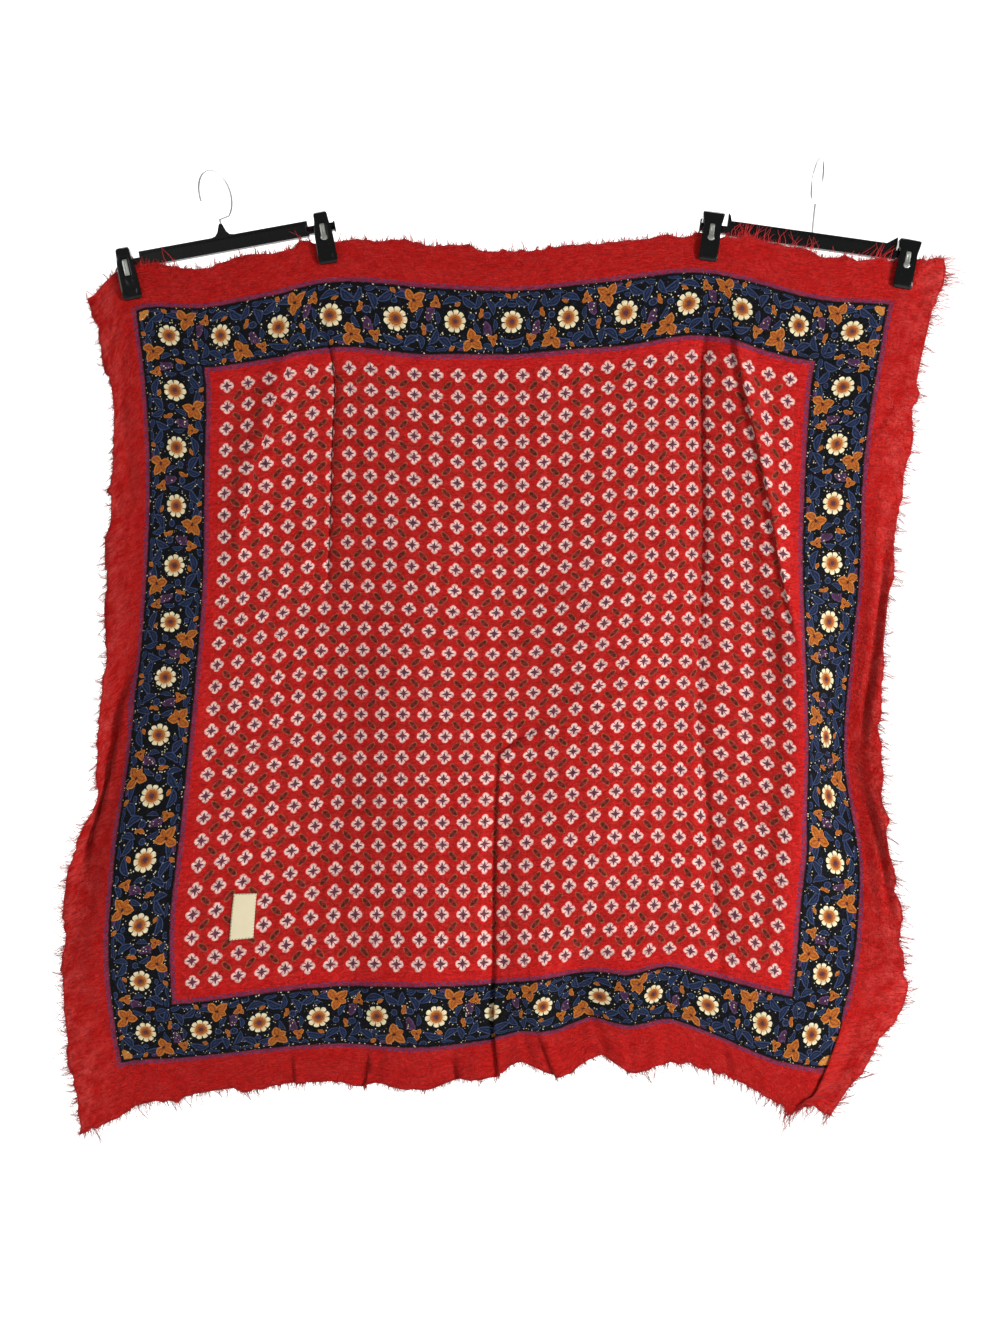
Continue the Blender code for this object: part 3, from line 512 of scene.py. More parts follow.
def printed_gauze():
    """Printed wool gauze, plain woven from fine crepe yarn: matt, soft and slightly translucent,
    with uneven crinkled threads that break up the flat colour. The light showing through it, the
    shade in its crinkle hollows and the highlights on its crinkle ridges are painted into the
    colour."""
    finish, add = new_finish(
        "printed wool gauze",
        Roughness=0.9,
        Specular_IOR_Level=0.14,
        Sheen_Weight=0.03,
        Sheen_Roughness=0.5,
    )
    flat = add("UVMap", uv_map="flat")
    half = SIDE * 1000 / 2
    chart = [flat, (1000.0, 1000.0, 0.0), (-half, -half, 0.0)]
    threads = chart = add("VectorMath MULTIPLY_ADD", chart)
    # The cutter's uneven hand, over 7 mm and over 1.6 mm
    for size, strength in ((7.0, 2.2), (1.6, 0.8)):
        noise = add("TexNoise", {"Vector": threads, "Scale": 1 / size}, "Color")
        noise = add("VectorMath SUBTRACT", [noise, (0.5, 0.5, 0.5)])
        chart = add("VectorMath MULTIPLY_ADD", [noise, (strength, strength, 0.0), chart])

    a, b, c = add("SeparateXYZ", [add("VectorMath ABSOLUTE", [chart])], None)
    reach = add("Math MAXIMUM", [a, b])
    side = add("Math MINIMUM", [a, b])
    out = add("Math SUBTRACT", [reach, BAND_MIDDLE])
    edge = add("Math SUBTRACT", [add("Math ABSOLUTE", [out]), BAND_HALF])
    margin = add("Math GREATER_THAN", [out, 0.0])
    colour = laid(add, field_print(add, chart, reach), [(margin, "#b90e0a")])

    # Violet picots along both edges of the band, drawn 6.8 mm apart so that they show
    slant = add("Math MULTIPLY_ADD", [edge, 0.5, side])
    loop = add("CombineXYZ", [add("Math WRAP", [slant, 3.4, -3.4]), edge])
    loop = add("VectorMath DISTANCE", [loop, (0, 3.0, 0)], "Value")
    loop = add("Math MULTIPLY", [add("Math COMPARE", [loop, 2.4, 0.95]), 0.8])
    bled = add("MapRange", {0: edge, 1: 7.0, 2: 0.6, 4: 0.60})
    colour = laid(add, colour, [(bled, "#5a2038"), (loop, "#453763")])
    colour = filled(add, colour, edge, ((0.9, "#17121f"),))

    cell = add("Math ROUND", [add("Math MULTIPLY", [side, 1 / CELL])])
    along = add("Math MULTIPLY_ADD", [cell, -CELL, side])
    inside = add("Math LESS_THAN", [edge, 0.0])
    colour = laid(add, colour, [(inside, band_print(add, chart, along, out, cell))])

    # Slubs and crepe: streaks along both sets of threads, drawn 1.25 mm apart to show
    grain = 0.0
    for scale in ((0.11, 0.80, 1.0), (0.80, 0.11, 1.0)):
        drawn = add("Mapping", {"Vector": threads, "Scale": scale})
        noise = add("TexNoise", {"Vector": drawn, "Scale": 1.0, "Detail": 2.0})
        grain = add("Math ADD", [grain, noise])
    # Pale patches over the slubs: partly the yarn's own uneven tone, partly painted light showing
    # through the thin gauze
    mottle = {"Vector": threads, "Scale": 0.05, "Detail": 7.0, "Roughness": 0.72}
    patch = add("MapRange", {0: add("TexNoise", mottle), 1: 0.42, 2: 0.64})
    pale = add("MapRange", {0: grain, 1: 0.70, 2: 1.30})
    share = add("Math MULTIPLY_ADD", [margin, 0.02, 0.20])
    pale = add("Math MULTIPLY", [add("Math MULTIPLY", [pale, patch]), share])
    # The weave is looser near the torn edges at the sides, and the light showing through it there
    # is painted in paler
    loose = add("MapRange", {0: a, 1: 425.0, 2: 488.0, 4: 0.60})
    pale = add("Math MAXIMUM", [pale, add("Math MULTIPLY", [loose, patch])])

    # Crepe wrinkles, 3 mm apart and longer across the cloth: painted shade in their hollows and
    # painted highlights on their ridges, none on the dark band
    drawn = add("Mapping", {"Vector": threads, "Scale": (0.16, 0.38, 1.0)})
    crepe = add("TexNoise", {"Vector": drawn, "Scale": 1.0, "Detail": 4.0, "Distortion": 1.2})
    # Painted highlight on the crepe's ridges
    ridge = add("MapRange", {0: crepe, 1: 0.50, 2: 0.70, 4: 0.45})
    pale = add("Math ADD", [pale, add("Math MULTIPLY", [ridge, share])])
    # Painted shade in the crepe's hollows
    hollow = add("MapRange", {0: crepe, 1: 0.54, 2: 0.33, 4: 0.55})
    # The grain's darker streaks, the yarn's own tone, joined with the painted shade of the hollows
    dark = add("MapRange", {0: grain, 1: 1.00, 2: 0.66, 4: 0.30})
    dark = add("Math MAXIMUM", [dark, hollow])
    ground = add("Math SUBTRACT", [1.0, inside])
    # Lays the pale colour, partly painted light, and the dark colour, partly painted shade, over
    # the red ground only
    for cover, code in ((pale, "#e85550"), (dark, "#6a0a09")):
        colour = laid(add, colour, [(add("Math MULTIPLY", [cover, ground]), code)])
    height = add("Math MULTIPLY_ADD", [grain, 0.35, crepe])
    bump = add("Bump", {"Strength": 1.0, "Distance": 0.0032, "Height": height})
    return set_shader(finish, Base_Color=colour, Normal=bump)


def wool_ends():
    """Loose ends of the red wool yarn: matt and fuzzy, darker where they thin out at the tip."""
    finish, add = new_finish(
        "loose wool yarn",
        Roughness=0.95,
        Specular_IOR_Level=0.2,
        Sheen_Weight=0.1,
        Sheen_Roughness=0.5,
    )
    shade = add("Attribute", output="Fac", attribute_name="shade")
    tip = add("Attribute", output="Fac", attribute_name="tip")
    place = add("TexCoord", output="Object")
    fuzz = add("TexNoise", {"Vector": place, "Scale": 900.0})
    shade = add("Math MULTIPLY_ADD", [fuzz, 0.3, shade])
    return set_shader(
        finish, Base_Color=laid(add, "#861210", [(shade, "#cf2c31"), (tip, "#5c1815")])
    )


def label_tape():
    """Cream polyester satin tape: a low sheen, with weft ribs across its width, and small dark
    stitches over its edges."""
    finish, add = new_finish(
        "cream satin tape", Roughness=0.5, Sheen_Weight=0.2, Sheen_Roughness=0.4
    )
    flat = add("UVMap", uv_map="flat")
    ribs = {"Vector": flat, "Scale": 260.0, "Distortion": 1.5, "Detail": 1.0}
    ribs = add("TexWave", ribs, "Fac", bands_direction="Y")
    soil = add("TexNoise", {"Vector": flat, "Scale": 90.0, "Detail": 4.0})
    soil = add("Math MULTIPLY", [soil, 0.4])
    rib = add("Math MULTIPLY", [ribs, 0.25])
    middle = (LABEL_SIZE[0] / 2, LABEL_SIZE[1] / 2, 0.0)
    aside = add("VectorMath ABSOLUTE", [add("VectorMath SUBTRACT", [flat, middle])])
    edge = 0.0
    for place, limit in zip(add("SeparateXYZ", [aside], None), middle[:2]):
        beyond = add("Math GREATER_THAN", [place, limit - STITCH_REACH])
        edge = add("Math MAXIMUM", [edge, beyond])
    x, y, z = add("SeparateXYZ", [flat], None)
    stitch = add("Math WRAP", [add("Math ADD", [x, y]), STITCH_HALF_PITCH, -STITCH_HALF_PITCH])
    stitch = add("Math COMPARE", [stitch, 0.0, STITCH_HALF_WIDTH])
    stitch = add("Math MULTIPLY", [stitch, edge])
    layers = [(soil, "#c8b88c"), (rib, "#eee4c8"), (stitch, "#4a3028")]
    bump = add("Bump", {"Strength": 0.3, "Distance": 0.0003, "Height": ribs})
    return set_shader(finish, Base_Color=laid(add, "#e4d7b4", layers), Normal=bump)


def uneven(name, scale, noise, levels, roughness, strength, depth, **values):
    """A hard finish, with a fine noise that varies its roughness and lifts its surface."""
    finish, add = new_finish(name, **values)
    drawn = add("Mapping", {"Vector": add("TexCoord", output="Object"), "Scale": scale})
    level = add("TexNoise", {"Vector": drawn, "Scale": 1.0, **noise})
    rough = add("MapRange", [level, *levels, *roughness])
    bump = add("Bump", {"Strength": strength, "Distance": depth, "Height": level})
    return set_shader(finish, Roughness=rough, Normal=bump)


def black_plastic(name, roughness):
    """Injection-moulded polypropylene: near black and smooth, so that it shows soft bright
    lines along its rounded edges, broken by faint scuffs from handling."""
    looks = {"Base_Color": "#020303", "Specular_IOR_Level": 0.42}
    noise, ends = {"Detail": 5.0, "Roughness": 0.7}, (roughness, roughness + 0.05)
    return uneven(name, (420,) * 3, noise, (0.35, 0.75), ends, 0.05, 0.0002, **looks)


def studio_paper():
    """Matt seamless paper: white, with faint soft fibres, and no shine."""
    finish, add = new_finish("matt studio paper", Roughness=0.9)
    place = add("TexCoord", output="Object")
    fibre = add("TexNoise", {"Vector": place, "Scale": 14.0, "Detail": 3.0})
    fibre = add("Math MULTIPLY", [fibre, 0.2])
    return set_shader(finish, Base_Color=laid(add, "#f7f7f6", [(fibre, "#f2f2f0")]))


def bare_metal(name, colour, roughness, brushed):
    """Metal with drawn or rolled streaks: they spread its bright reflections along it."""
    looks = {"Base_Color": colour, "Metallic": 1.0}
    ends = (roughness, roughness + 0.2)
    return uneven(name, brushed, {"Detail": 4.0}, (0.3, 0.7), ends, 0.25, 0.0001, **looks)


# The cloth


def metres(rows):
    """Rows of a table that is written in millimetres."""
    return [tuple(value / 1000 for value in row) for row in rows]


def smooth_curve(knots, values, at):
    """Values at the places `at`, on a smooth curve through the rows of `values` at `knots`."""
    knots = np.asarray(knots)
    values = np.asarray(values)
    slopes = np.gradient(values, knots, axis=0)
    low = np.clip(np.searchsorted(knots, at) - 1, 0, len(knots) - 2)
    span = (knots[low + 1] - knots[low])[:, None]
    t = (at - knots[low])[:, None] / span
    lead, trail = slopes[low] * span, slopes[low + 1] * span
    curve = values[low] * (2 * t**3 - 3 * t**2 + 1) + lead * (t**3 - 2 * t**2 + t)
    return curve + values[low + 1] * (3 * t**2 - 2 * t**3) + trail * (t**3 - t**2)


def hung_grid(sections, down, across):
    """One coordinate over the whole cloth, from its table of sections."""
    table = np.array(metres(sections))
    along = smooth_curve(table[:, 0], table[:, 1:], down)
    return smooth_curve(COLUMNS, along.T, across).T


def ease(x):
    """0 up to 0, 1 from 1 on, and a smooth rise between."""
    x = np.clip(x, 0.0, 1.0)
    return x * x * (3 - 2 * x)


def fold_heights(down, across):
    """How far each place stands out to the front, from the table of folds."""
    heights = np.zeros((len(down), len(across)))
    for top, foot, fade, a, b, c, half_width, height in metres(FOLDS.values()):
        run = np.clip((down - top) / (foot - top), 0.0, 1.0)
        path = a * (1 - run) ** 2 + (4 * b - a - c) * run * (1 - run) + c * run**2
        ends = ease((down - top) / fade) * ease((foot - down) / fade)
        away = (across[None, :] - path[:, None]) / half_width
        heights += (height * ends)[:, None] * np.exp(-(away**2))
    return heights


def beside_line(down, across, down0, across0, down1, across1, bow):
    """How far each place lies to the right of a line, and a share that fades beyond its ends."""
    d, a = np.meshgrid(down, across, indexing="ij")
    run_down, run_across = down1 - down0, across1 - across0
    length = math.hypot(run_down, run_across)
    t = ((d - down0) * run_down + (a - across0) * run_across) / length**2
    side = ((a - across0) * run_down - (d - down0) * run_across) / length
    ends = ease(t * 3.0 + 0.25) * ease((1 - t) * 3.0 + 0.25)
    return side - bow * 4 * t * (1 - t), ends


def line_heights(down, across, lines):
    """Heights of straight or bowed troughs and ridges that fade at both ends."""
    heights = np.zeros((len(down), len(across)))
    for *line, half_width, height in lines:
        side, ends = beside_line(down, across, *line)
        heights += height * ends * np.exp(-((side / half_width) ** 2))
    return heights


def lapped(x, z, down, across):
    """The same places, with the two sides of each lap slid together, and the laps' heights."""
    heights = np.zeros_like(x)
    for *line, half_width, slide, height in metres(LAPS.values()):
        side, ends = beside_line(down, across, *line)
        share = ends * side / half_width * np.exp(-((side / half_width) ** 2))
        run_down, run_across = line[2] - line[0], line[3] - line[1]
        length = math.hypot(run_down, run_across)
        x = x - slide * share * run_down / length
        z = z - slide * share * run_across / length
        heights = heights + height * share
    return x, z, heights


def crinkles():
    """Small creases strewn over the cloth, most of them running down it."""
    draws = random.Random(CRINKLE_SEED)
    lines = []
    for _ in range(CRINKLES):
        down, across = draws.uniform(0, SIDE), draws.uniform(0, SIDE)
        turn = draws.gauss(*(DOWN_TURN if draws.random() < CRINKLES_DOWN else ACROSS_TURN))
        length = draws.uniform(*CRINKLE_LENGTH)
        end = (down + length * math.cos(turn), across + length * math.sin(turn))
        half_width = draws.uniform(*CRINKLE_HALF_WIDTH)
        height = draws.gauss(0.0, 1.0) * CRINKLE_HEIGHT
        bow = draws.gauss(0, CRINKLE_BOW) * length
        lines.append((down, across, *end, bow, half_width, height))
    return lines


def held_flat(down, across):
    """1 over the free cloth, fading to 0 where a clip's jaws hold it."""
    free = np.ones((len(down), len(across)))
    for middle in GRIPS_ACROSS:
        aside = ease((np.abs(across - middle) - GRIP_HALF_WIDTH) / GRIP_FADE_ACROSS)
        below = ease((down - GRIP_DOWN) / GRIP_FADE_DOWN)
        free *= np.maximum(aside[None, :], below[:, None])
    return free


def hem_rises(down, across):
    """How far each place is lifted by the waves of the lower edge."""
    rises = np.zeros((len(down), len(across)))
    for place, half_width, reach, rise in metres(HEM_WAVES.values()):
        up = ease(1 - (SIDE - down) / reach)
        away = (across - place) / half_width
        rises += rise * up[:, None] * np.exp(-(away**2))[None, :]
    return rises


def taken_up(heights, across):
    """Sideways shift of each place, because a length of cloth that slopes back looks shorter."""
    slopes = np.gradient(heights, across, axis=1)
    share = np.sqrt(np.clip(1 - slopes**2, 0.2, 1.0))
    steps = (share[:, 1:] + share[:, :-1]) / 2 * np.diff(across)
    run = np.concatenate([np.zeros((len(heights), 1)), np.cumsum(steps, axis=1)], axis=1)
    held = [np.interp(across, COLUMNS, np.interp(COLUMNS, across, row)) for row in run]
    return run - np.array(held)


def spaced(count, fine_zones):
    """Places along a side of the cloth, closer together in the zones with sharp creases."""
    fine = np.linspace(0.0, SIDE, FINE_SAMPLES)
    density = np.ones_like(fine)
    for low, high in fine_zones:
        density += FINE_SHARE * ((fine > low) & (fine < high))
    run = np.concatenate([[0.0], np.cumsum((density[1:] + density[:-1]) / 2)])
    return np.interp(np.linspace(0.0, run[-1], count), run, fine)


def pulled(x, z, down, across):
    """The same places, moved by the table of local pulls."""
    for at_down, at_across, reach_down, reach_across, move_x, move_z in metres(PULLS.values()):
        apart = [((down - at_down) / reach_down) ** 2, ((across - at_across) / reach_across) ** 2]
        share = np.exp(-apart[0][:, None] - apart[1][None, :])
        x, z = x + move_x * share, z + move_z * share
    return x, z


def fray(points):
    """Draws the outermost threads in and out, because a torn edge is never straight."""
    draws = np.random.default_rng(FRAY_SEED)
    for edge, inner in ((0, 1), (-1, -2)):
        for grid in (points, points.swapaxes(0, 1)):
            lines = np.arange(grid.shape[1])
            ends = lines[::RAG_LINES]
            rags = np.interp(lines, ends, draws.normal(0.0, RAGS, len(ends)))
            ragged = np.clip(rags + draws.normal(0.0, FRAY, len(lines)), *RAG_LIMITS)
            grid[edge] += (grid[edge] - grid[inner]) * ragged[:, None]


def hang_cloth():
    """The lines of the grid, its hanging points and their normals to the front."""
    down, across = spaced(LINES_DOWN, ()), spaced(LINES_ACROSS, FINE_ACROSS)
    free = held_flat(down, across)
    creases = line_heights(down, across, metres(CREASES.values())) * free
    heights = fold_heights(down, across) + creases
    x = hung_grid(SECTIONS_X, down, across) + taken_up(heights, across)
    z = hung_grid(SECTIONS_Z, down, across) + hem_rises(down, across)
    x, z = pulled(x, z, down, across)
    x, z, laps = lapped(x, z, down, across)
    heights = heights + laps + line_heights(down, across, crinkles()) * free
    points = np.stack([x, CLOTH_PLANE - heights, z], axis=-1)
    fray(points)
    normals = np.cross(np.gradient(points, axis=0), np.gradient(points, axis=1))
    normals /= np.linalg.norm(normals, axis=-1, keepdims=True)
    return down, across, points, normals


def only(piece):
    """Selects one piece and nothing else."""
    bpy.ops.object.select_all(action="DESELECT")
    piece.select_set(True)
    bpy.context.view_layer.objects.active = piece


def placed(name, shape):
    """A new piece in the scene for a mesh or a curve, selected."""
    piece = bpy.data.objects.new(name, shape)
    bpy.context.scene.collection.objects.link(piece)
    only(piece)
    return piece


def sheet_piece(name, points, flats, thickness, finish):
    """A sheet of cloth through a grid of points, with its flat places as its UV map."""
    rows, columns = points.shape[:2]
    corner = np.arange(rows * columns).reshape(rows, columns)
    around = [corner[:-1, :-1], corner[1:, :-1], corner[1:, 1:], corner[:-1, 1:]]
    faces = np.stack(around, axis=-1).reshape(-1, 4)
    mesh = bpy.data.meshes.new(name)
    mesh.from_pydata(points.reshape(-1, 3).tolist(), [], faces.tolist())
    layer = mesh.uv_layers.new(name="flat")
    layer.data.foreach_set("uv", flats.reshape(-1, 2)[faces.ravel()].ravel())
    mesh.materials.append(finish)
    piece = placed(name, mesh)
    wall = piece.modifiers.new("wall", "SOLIDIFY")
    wall.thickness = thickness
    wall.offset = 0.0
    bpy.ops.object.modifier_apply(modifier="wall")
    bpy.ops.object.shade_smooth()
    return piece


def on_cloth(hung, down, across):
    """Points and normals of the hanging cloth at any flat places."""
    downs, acrosses, points, normals = hung
    cells, shares = [], []
    for lines, at in ((downs, down), (acrosses, across)):
        low = np.clip(np.searchsorted(lines, at) - 1, 0, len(lines) - 2)
        cells.append(low)
        shares.append(((at - lines[low]) / (lines[low + 1] - lines[low]))[..., None])
    (r, c), (s, t) = cells, shares
    found = []
    for grid in (points, normals):
        upper = grid[r, c] * (1 - t) + grid[r, c + 1] * t
        lower = grid[r + 1, c] * (1 - t) + grid[r + 1, c + 1] * t
        found.append(upper * (1 - s) + lower * s)
    return found


def make_label(hung, finish):
    """The blank label, sewn over the lower left flowers, with its edges a little proud."""
    s, t = np.meshgrid(*(np.linspace(0, 1, count) for count in LABEL_GRID), indexing="ij")
    top_left, top_right, foot_right, foot_left = np.array(LABEL_CORNERS)
    upper = top_left + (top_right - top_left) * t[..., None]
    lower = foot_left + (foot_right - foot_left) * t[..., None]
    flats = upper + (lower - upper) * s[..., None]
    points, normals = on_cloth(hung, flats[..., 0], flats[..., 1])
    points = points + normals * LABEL_LIFT
    own = np.stack([t, s], axis=-1) * np.array(LABEL_SIZE)
    return sheet_piece("blank_label", points, own, LABEL_THICK, finish)


# The fringe. Each edge: bunches a metre, shortest and longest bunch, lean along the edge and
# droop as shares of its length, and throw to the front
FRINGE = {
    "fringe_top": (140, 0.0030, 0.0115, 0.35, -0.05, 0.0020),
    "fringe_bottom": (125, 0.0060, 0.0190, 0.35, 0.12, 0.0012),
    "fringe_left": (105, 0.0065, 0.0175, 0.22, -0.38, 0.0010),
    "fringe_right": (110, 0.0065, 0.0180, 0.22, 0.02, 0.0010),
}
# Runs with a shorter fringe: over the right bar, where only the loose threads below are long,
# and along the torn hem. From and to along the edge, and the share of the length
SHORT_RUNS = {
    "fringe_top": (0.742, 0.918, 0.45),
    "fringe_bottom": (0.215, 0.640, 0.50),
}
# Longer loose threads: edge, from and to along it, how many, length, lean, throw to the front,
# curl, thickness against the fringe's yarn, and how bright
LOOSE_THREADS = (
    ("fringe_top", 0.745, 0.830, 42, 0.0165, 0.25, 0.0050, 0.20, 1.35, 0.62),
    ("fringe_top", 0.825, 0.915, 22, 0.0165, 0.25, 0.0050, 0.20, 1.35, 0.62),
    ("fringe_top", 0.100, 0.106, 2, 0.0260, -0.55, 0.0060, 0.16, 1.30, 0.9),
    ("fringe_top", 0.228, 0.250, 9, 0.0130, -0.70, 0.0030, 0.16, 1.10, 0.7),
    ("fringe_right", 0.000, 0.075, 44, 0.0220, 0.10, 0.0010, 0.11, 1.00, 0.5),
    ("fringe_right", 0.480, 0.900, 60, 0.0170, 0.10, 0.0010, 0.16, 0.90, 0.5),
    ("fringe_bottom", 0.900, 0.980, 44, 0.0220, 0.25, 0.0012, 0.14, 1.00, 0.4),
    ("fringe_left", 0.560, 0.980, 110, 0.0190, 0.10, 0.0010, 0.16, 0.90, 0.4),
)
FRINGE_SEED = 7
YARNS = 14
FUZZ_LENGTH = (0.0012, 0.0046)
YARN_RADIUS = 0.00036
YARN_ROOT = 0.0022
YARN_POINTS = 6
# A tuft's yarns stand in this share of its bunch's room, and lean together this far
TUFT_ROOM, TUFT_GATHER = 0.35, 0.85
# A drooping end loses some of its reach; ends lean late, and curl along the edge and outwards
DROOP_LOSS, LEAN_BEND, CURL_TURNS, CURL_OUT = 0.35, 1.4, (4.4, 3.6), 0.5
YARN_TIP = 0.42
END_ROOM, FRONT_LIFT = 0.0006, 0.0003
INSET, STEP_ALONG = 0.004, 0.001


def edge_places(name, s, inset=0.0):
    """Flat places at the distances s along one edge, or a little inside it: down and across."""
    far = name in ("fringe_bottom", "fringe_right")
    level = np.full_like(s, SIDE - inset if far else inset)
    return (level, s) if name in ("fringe_top", "fringe_bottom") else (s, level)


def yarn_paths(name, hung, draws, s, length, aside, droop, throw, curliness=0.10):
    """Paths of yarn ends that leave the edge at the places s, sag, lean aside and curl."""
    count = len(s)
    edge, facing = on_cloth(hung, *edge_places(name, s))
    out = edge - on_cloth(hung, *edge_places(name, s, INSET))[0]
    out /= np.linalg.norm(out, axis=-1, keepdims=True)
    ahead = on_cloth(hung, *edge_places(name, np.minimum(s + STEP_ALONG, SIDE)))[0]
    back = on_cloth(hung, *edge_places(name, np.maximum(s - STEP_ALONG, 0.0)))[0]
    run = (ahead - back) / np.linalg.norm(ahead - back, axis=-1, keepdims=True)
    curl = draws.normal(0.0, curliness, (2, count)) * length
    t = np.linspace(0.0, 1.0, YARN_POINTS)[None, :, None]

    def grown(direction, reach, shape):
        return direction[:, None] * reach[:, None, None] * shape

    downward = np.tile([0.0, 0.0, -1.0], (count, 1))
    front = np.tile([0.0, -1.0, 0.0], (count, 1))
    path = (edge - out * YARN_ROOT)[:, None] + grown(out, length + YARN_ROOT, t)
    path = path - grown(out, np.abs(droop) * length * DROOP_LOSS, t**2)
    path = path + grown(downward, droop * length, t**2) + grown(run, aside, t**LEAN_BEND)
    path = path + grown(run, curl[0], np.sin(t * CURL_TURNS[0]))
    path = path + grown(facing, curl[1] * CURL_OUT, np.sin(t * CURL_TURNS[1]))
    return path + grown(front, throw, t**LEAN_BEND) + np.array([0.0, -FRONT_LIFT, 0.0])


def make_fringe(name, hung, finish):
    """One edge's yarn ends: bunches of tufts and fuzz, and its longer loose threads."""
    per_metre, shortest, longest, lean, droop, throw = FRINGE[name]
    draws = np.random.default_rng([FRINGE_SEED, list(FRINGE).index(name)])
    bunches = int(SIDE * per_metre)
    bunch = np.repeat(np.arange(bunches), YARNS)
    count = len(bunch)
    in_tuft = np.tile(np.arange(YARNS), bunches) < draws.integers(1, 8, bunches)[bunch]
    middle = (bunch + 0.5 + draws.uniform(-0.4, 0.4, bunches)[bunch]) / bunches * SIDE
    spread = np.where(in_tuft, TUFT_ROOM, 1.0) * SIDE / bunches
    s = np.clip(middle + draws.uniform(-1, 1, count) * spread, END_ROOM, SIDE - END_ROOM)
    tuft_length = shortest + (longest - shortest) * draws.beta(1.2, 1.9, bunches)[bunch]
    tuft_length = tuft_length * draws.uniform(0.7, 1.1, count)
    length = np.where(in_tuft, tuft_length, draws.uniform(*FUZZ_LENGTH, count))
    tuft_lean = draws.normal(0.0, lean, bunches)[bunch] * length + (middle - s) * TUFT_GATHER
    aside = np.where(in_tuft, tuft_lean, draws.normal(0, 0.7, count) * length)
    sag = droop * draws.uniform(0.4, 1.5, count)
    fling = np.where(in_tuft, draws.normal(0.3, 1.0, bunches)[bunch] * throw, 0.0)
    if name == "fringe_top":
        free = np.abs(s[:, None] - np.array(GRIPS_ACROSS)).min(axis=1) > GRIP_HALF_WIDTH
        rows = (s, length, aside, sag, fling, in_tuft)
        s, length, aside, sag, fling, in_tuft = (row[free] for row in rows)
    low, high, share = SHORT_RUNS.get(name, (0.0, 0.0, 1.0))
    short = np.where((s > low) & (s < high) & in_tuft, share, 1.0)
    length, aside = length * short, aside * short
    paths = [yarn_paths(name, hung, draws, s, length, aside, sag, fling)]
    thick, shades = [np.ones(len(s))], [draws.uniform(0, 0.6, len(s))]
    for edge, low, high, number, length, lean, throw, curl, thickness, bright in LOOSE_THREADS:
        if edge == name:
            s = draws.uniform(low, high, number)
            length = length * draws.uniform(0.45, 1.15, number)
            aside = draws.normal(lean, 0.3, number) * length
            sag = droop * draws.uniform(0.4, 1.5, number)
            fling = throw * draws.uniform(0.4, 1.2, number)
            paths.append(yarn_paths(name, hung, draws, s, length, aside, sag, fling, curl))
            thick.append(np.full(number, thickness))
            shades.append(bright * draws.uniform(0.7, 1.0, number))
    radii = np.concatenate(thick) * YARN_RADIUS
    return yarn_piece(name, np.concatenate(paths), radii, np.concatenate(shades), finish)


def yarn_piece(name, paths, radii, shades, finish):
    """Three-sided tapering yarn ends along their paths, as one closed mesh."""
    count, rings = paths.shape[:2]
    ahead = np.gradient(paths, axis=1)
    ahead /= np.linalg.norm(ahead, axis=-1, keepdims=True)
    side = np.cross(ahead, np.array([0.0, -1.0, 0.0]))
    side /= np.linalg.norm(side, axis=-1, keepdims=True) + 1e-9
    up = np.cross(side, ahead)
    taper = np.linspace(1.0, YARN_TIP, rings)[None, :, None] * radii[:, None, None]
    corners = []
    for k in range(3):
        turn = 2 * math.pi * k / 3
        corners.append(paths + (side * math.cos(turn) + up * math.sin(turn)) * taper)
    vertices = np.stack(corners, axis=2).reshape(-1, 3)
    base = (np.arange(count) * rings * 3)[:, None]
    faces = []
    for ring in range(rings - 1):
        for k in range(3):
            j = (k + 1) % 3
            a, b = ring * 3, ring * 3 + 3
            faces.append(base + np.array([[a + k, a + j, b + j, b + k]]))
    quads = np.concatenate(faces).tolist()
    last = rings * 3 - 3
    caps = np.concatenate([base + np.array([[2, 1, 0]]), base + np.array([[0, 1, 2]]) + last])
    mesh = bpy.data.meshes.new(name)
    mesh.from_pydata(vertices.tolist(), [], quads + caps.tolist())
    tips = np.tile(np.repeat(np.linspace(0.0, 0.85, rings), 3), count)
    tips *= 1.0 - 0.8 * np.repeat(shades, rings * 3)
    for kind, values in (("tip", tips), ("shade", np.repeat(shades, rings * 3))):
        layer = mesh.attributes.new(kind, "FLOAT", "POINT")
        layer.data.foreach_set("value", values.astype(np.float32))
    mesh.materials.append(finish)
    mesh.update()
    return placed(name + "_yarn", mesh)


# The hangers. Each is modelled about the middle of its own bar, with X along the bar, and then
# put in its place: X of the hook's inner crown, its rise above the bar's axis, its lean along
# the bar, the bar's tilt upwards to the right, the turn of the hook's loop from the bar, and
# the height of the stem's foot above the bar's axis
HANGERS = {
    "left": (0.000, 0.0866, 0.0000, math.radians(9.2), math.radians(45), 0.0236),
    "right": (0.706, 0.0953, -0.0036, math.radians(-9.2), math.radians(97), 0.0091),
}
BAR_HALF = (0.099, 0.004, 0.00885)
RAIL_TOP, RAIL_FOOT = 0.002, -0.007
OUTER_REACH, INNER_REACH = 0.1200, 0.1288
STOP_THICK, STOP_FOOT = 0.0018, -0.0085
STOP_TOPS = {"left": 0.0032, "right": 0.0068}
# Heights along the top of each bar where it isn't straight: the left bar's peak, and the
# right bar's ears
BAR_TOPS = {
    "left": (
        (-13, 8.85),
        (-8.6, 10),
        (-5.2, 14),
        (-3.2, 19.6),
        (-1.9, 23.3),
        (1.9, 23.3),
        (3.2, 19.6),
        (5.2, 14),
        (8.6, 10),
        (13, 8.85),
    ),
    "right": (
        (-99, 17.5),
        (-96.5, 15),
        (-94.5, 8.85),
        (87, 8.85),
        (95.5, 15),
        (99, 17.5),
    ),
}
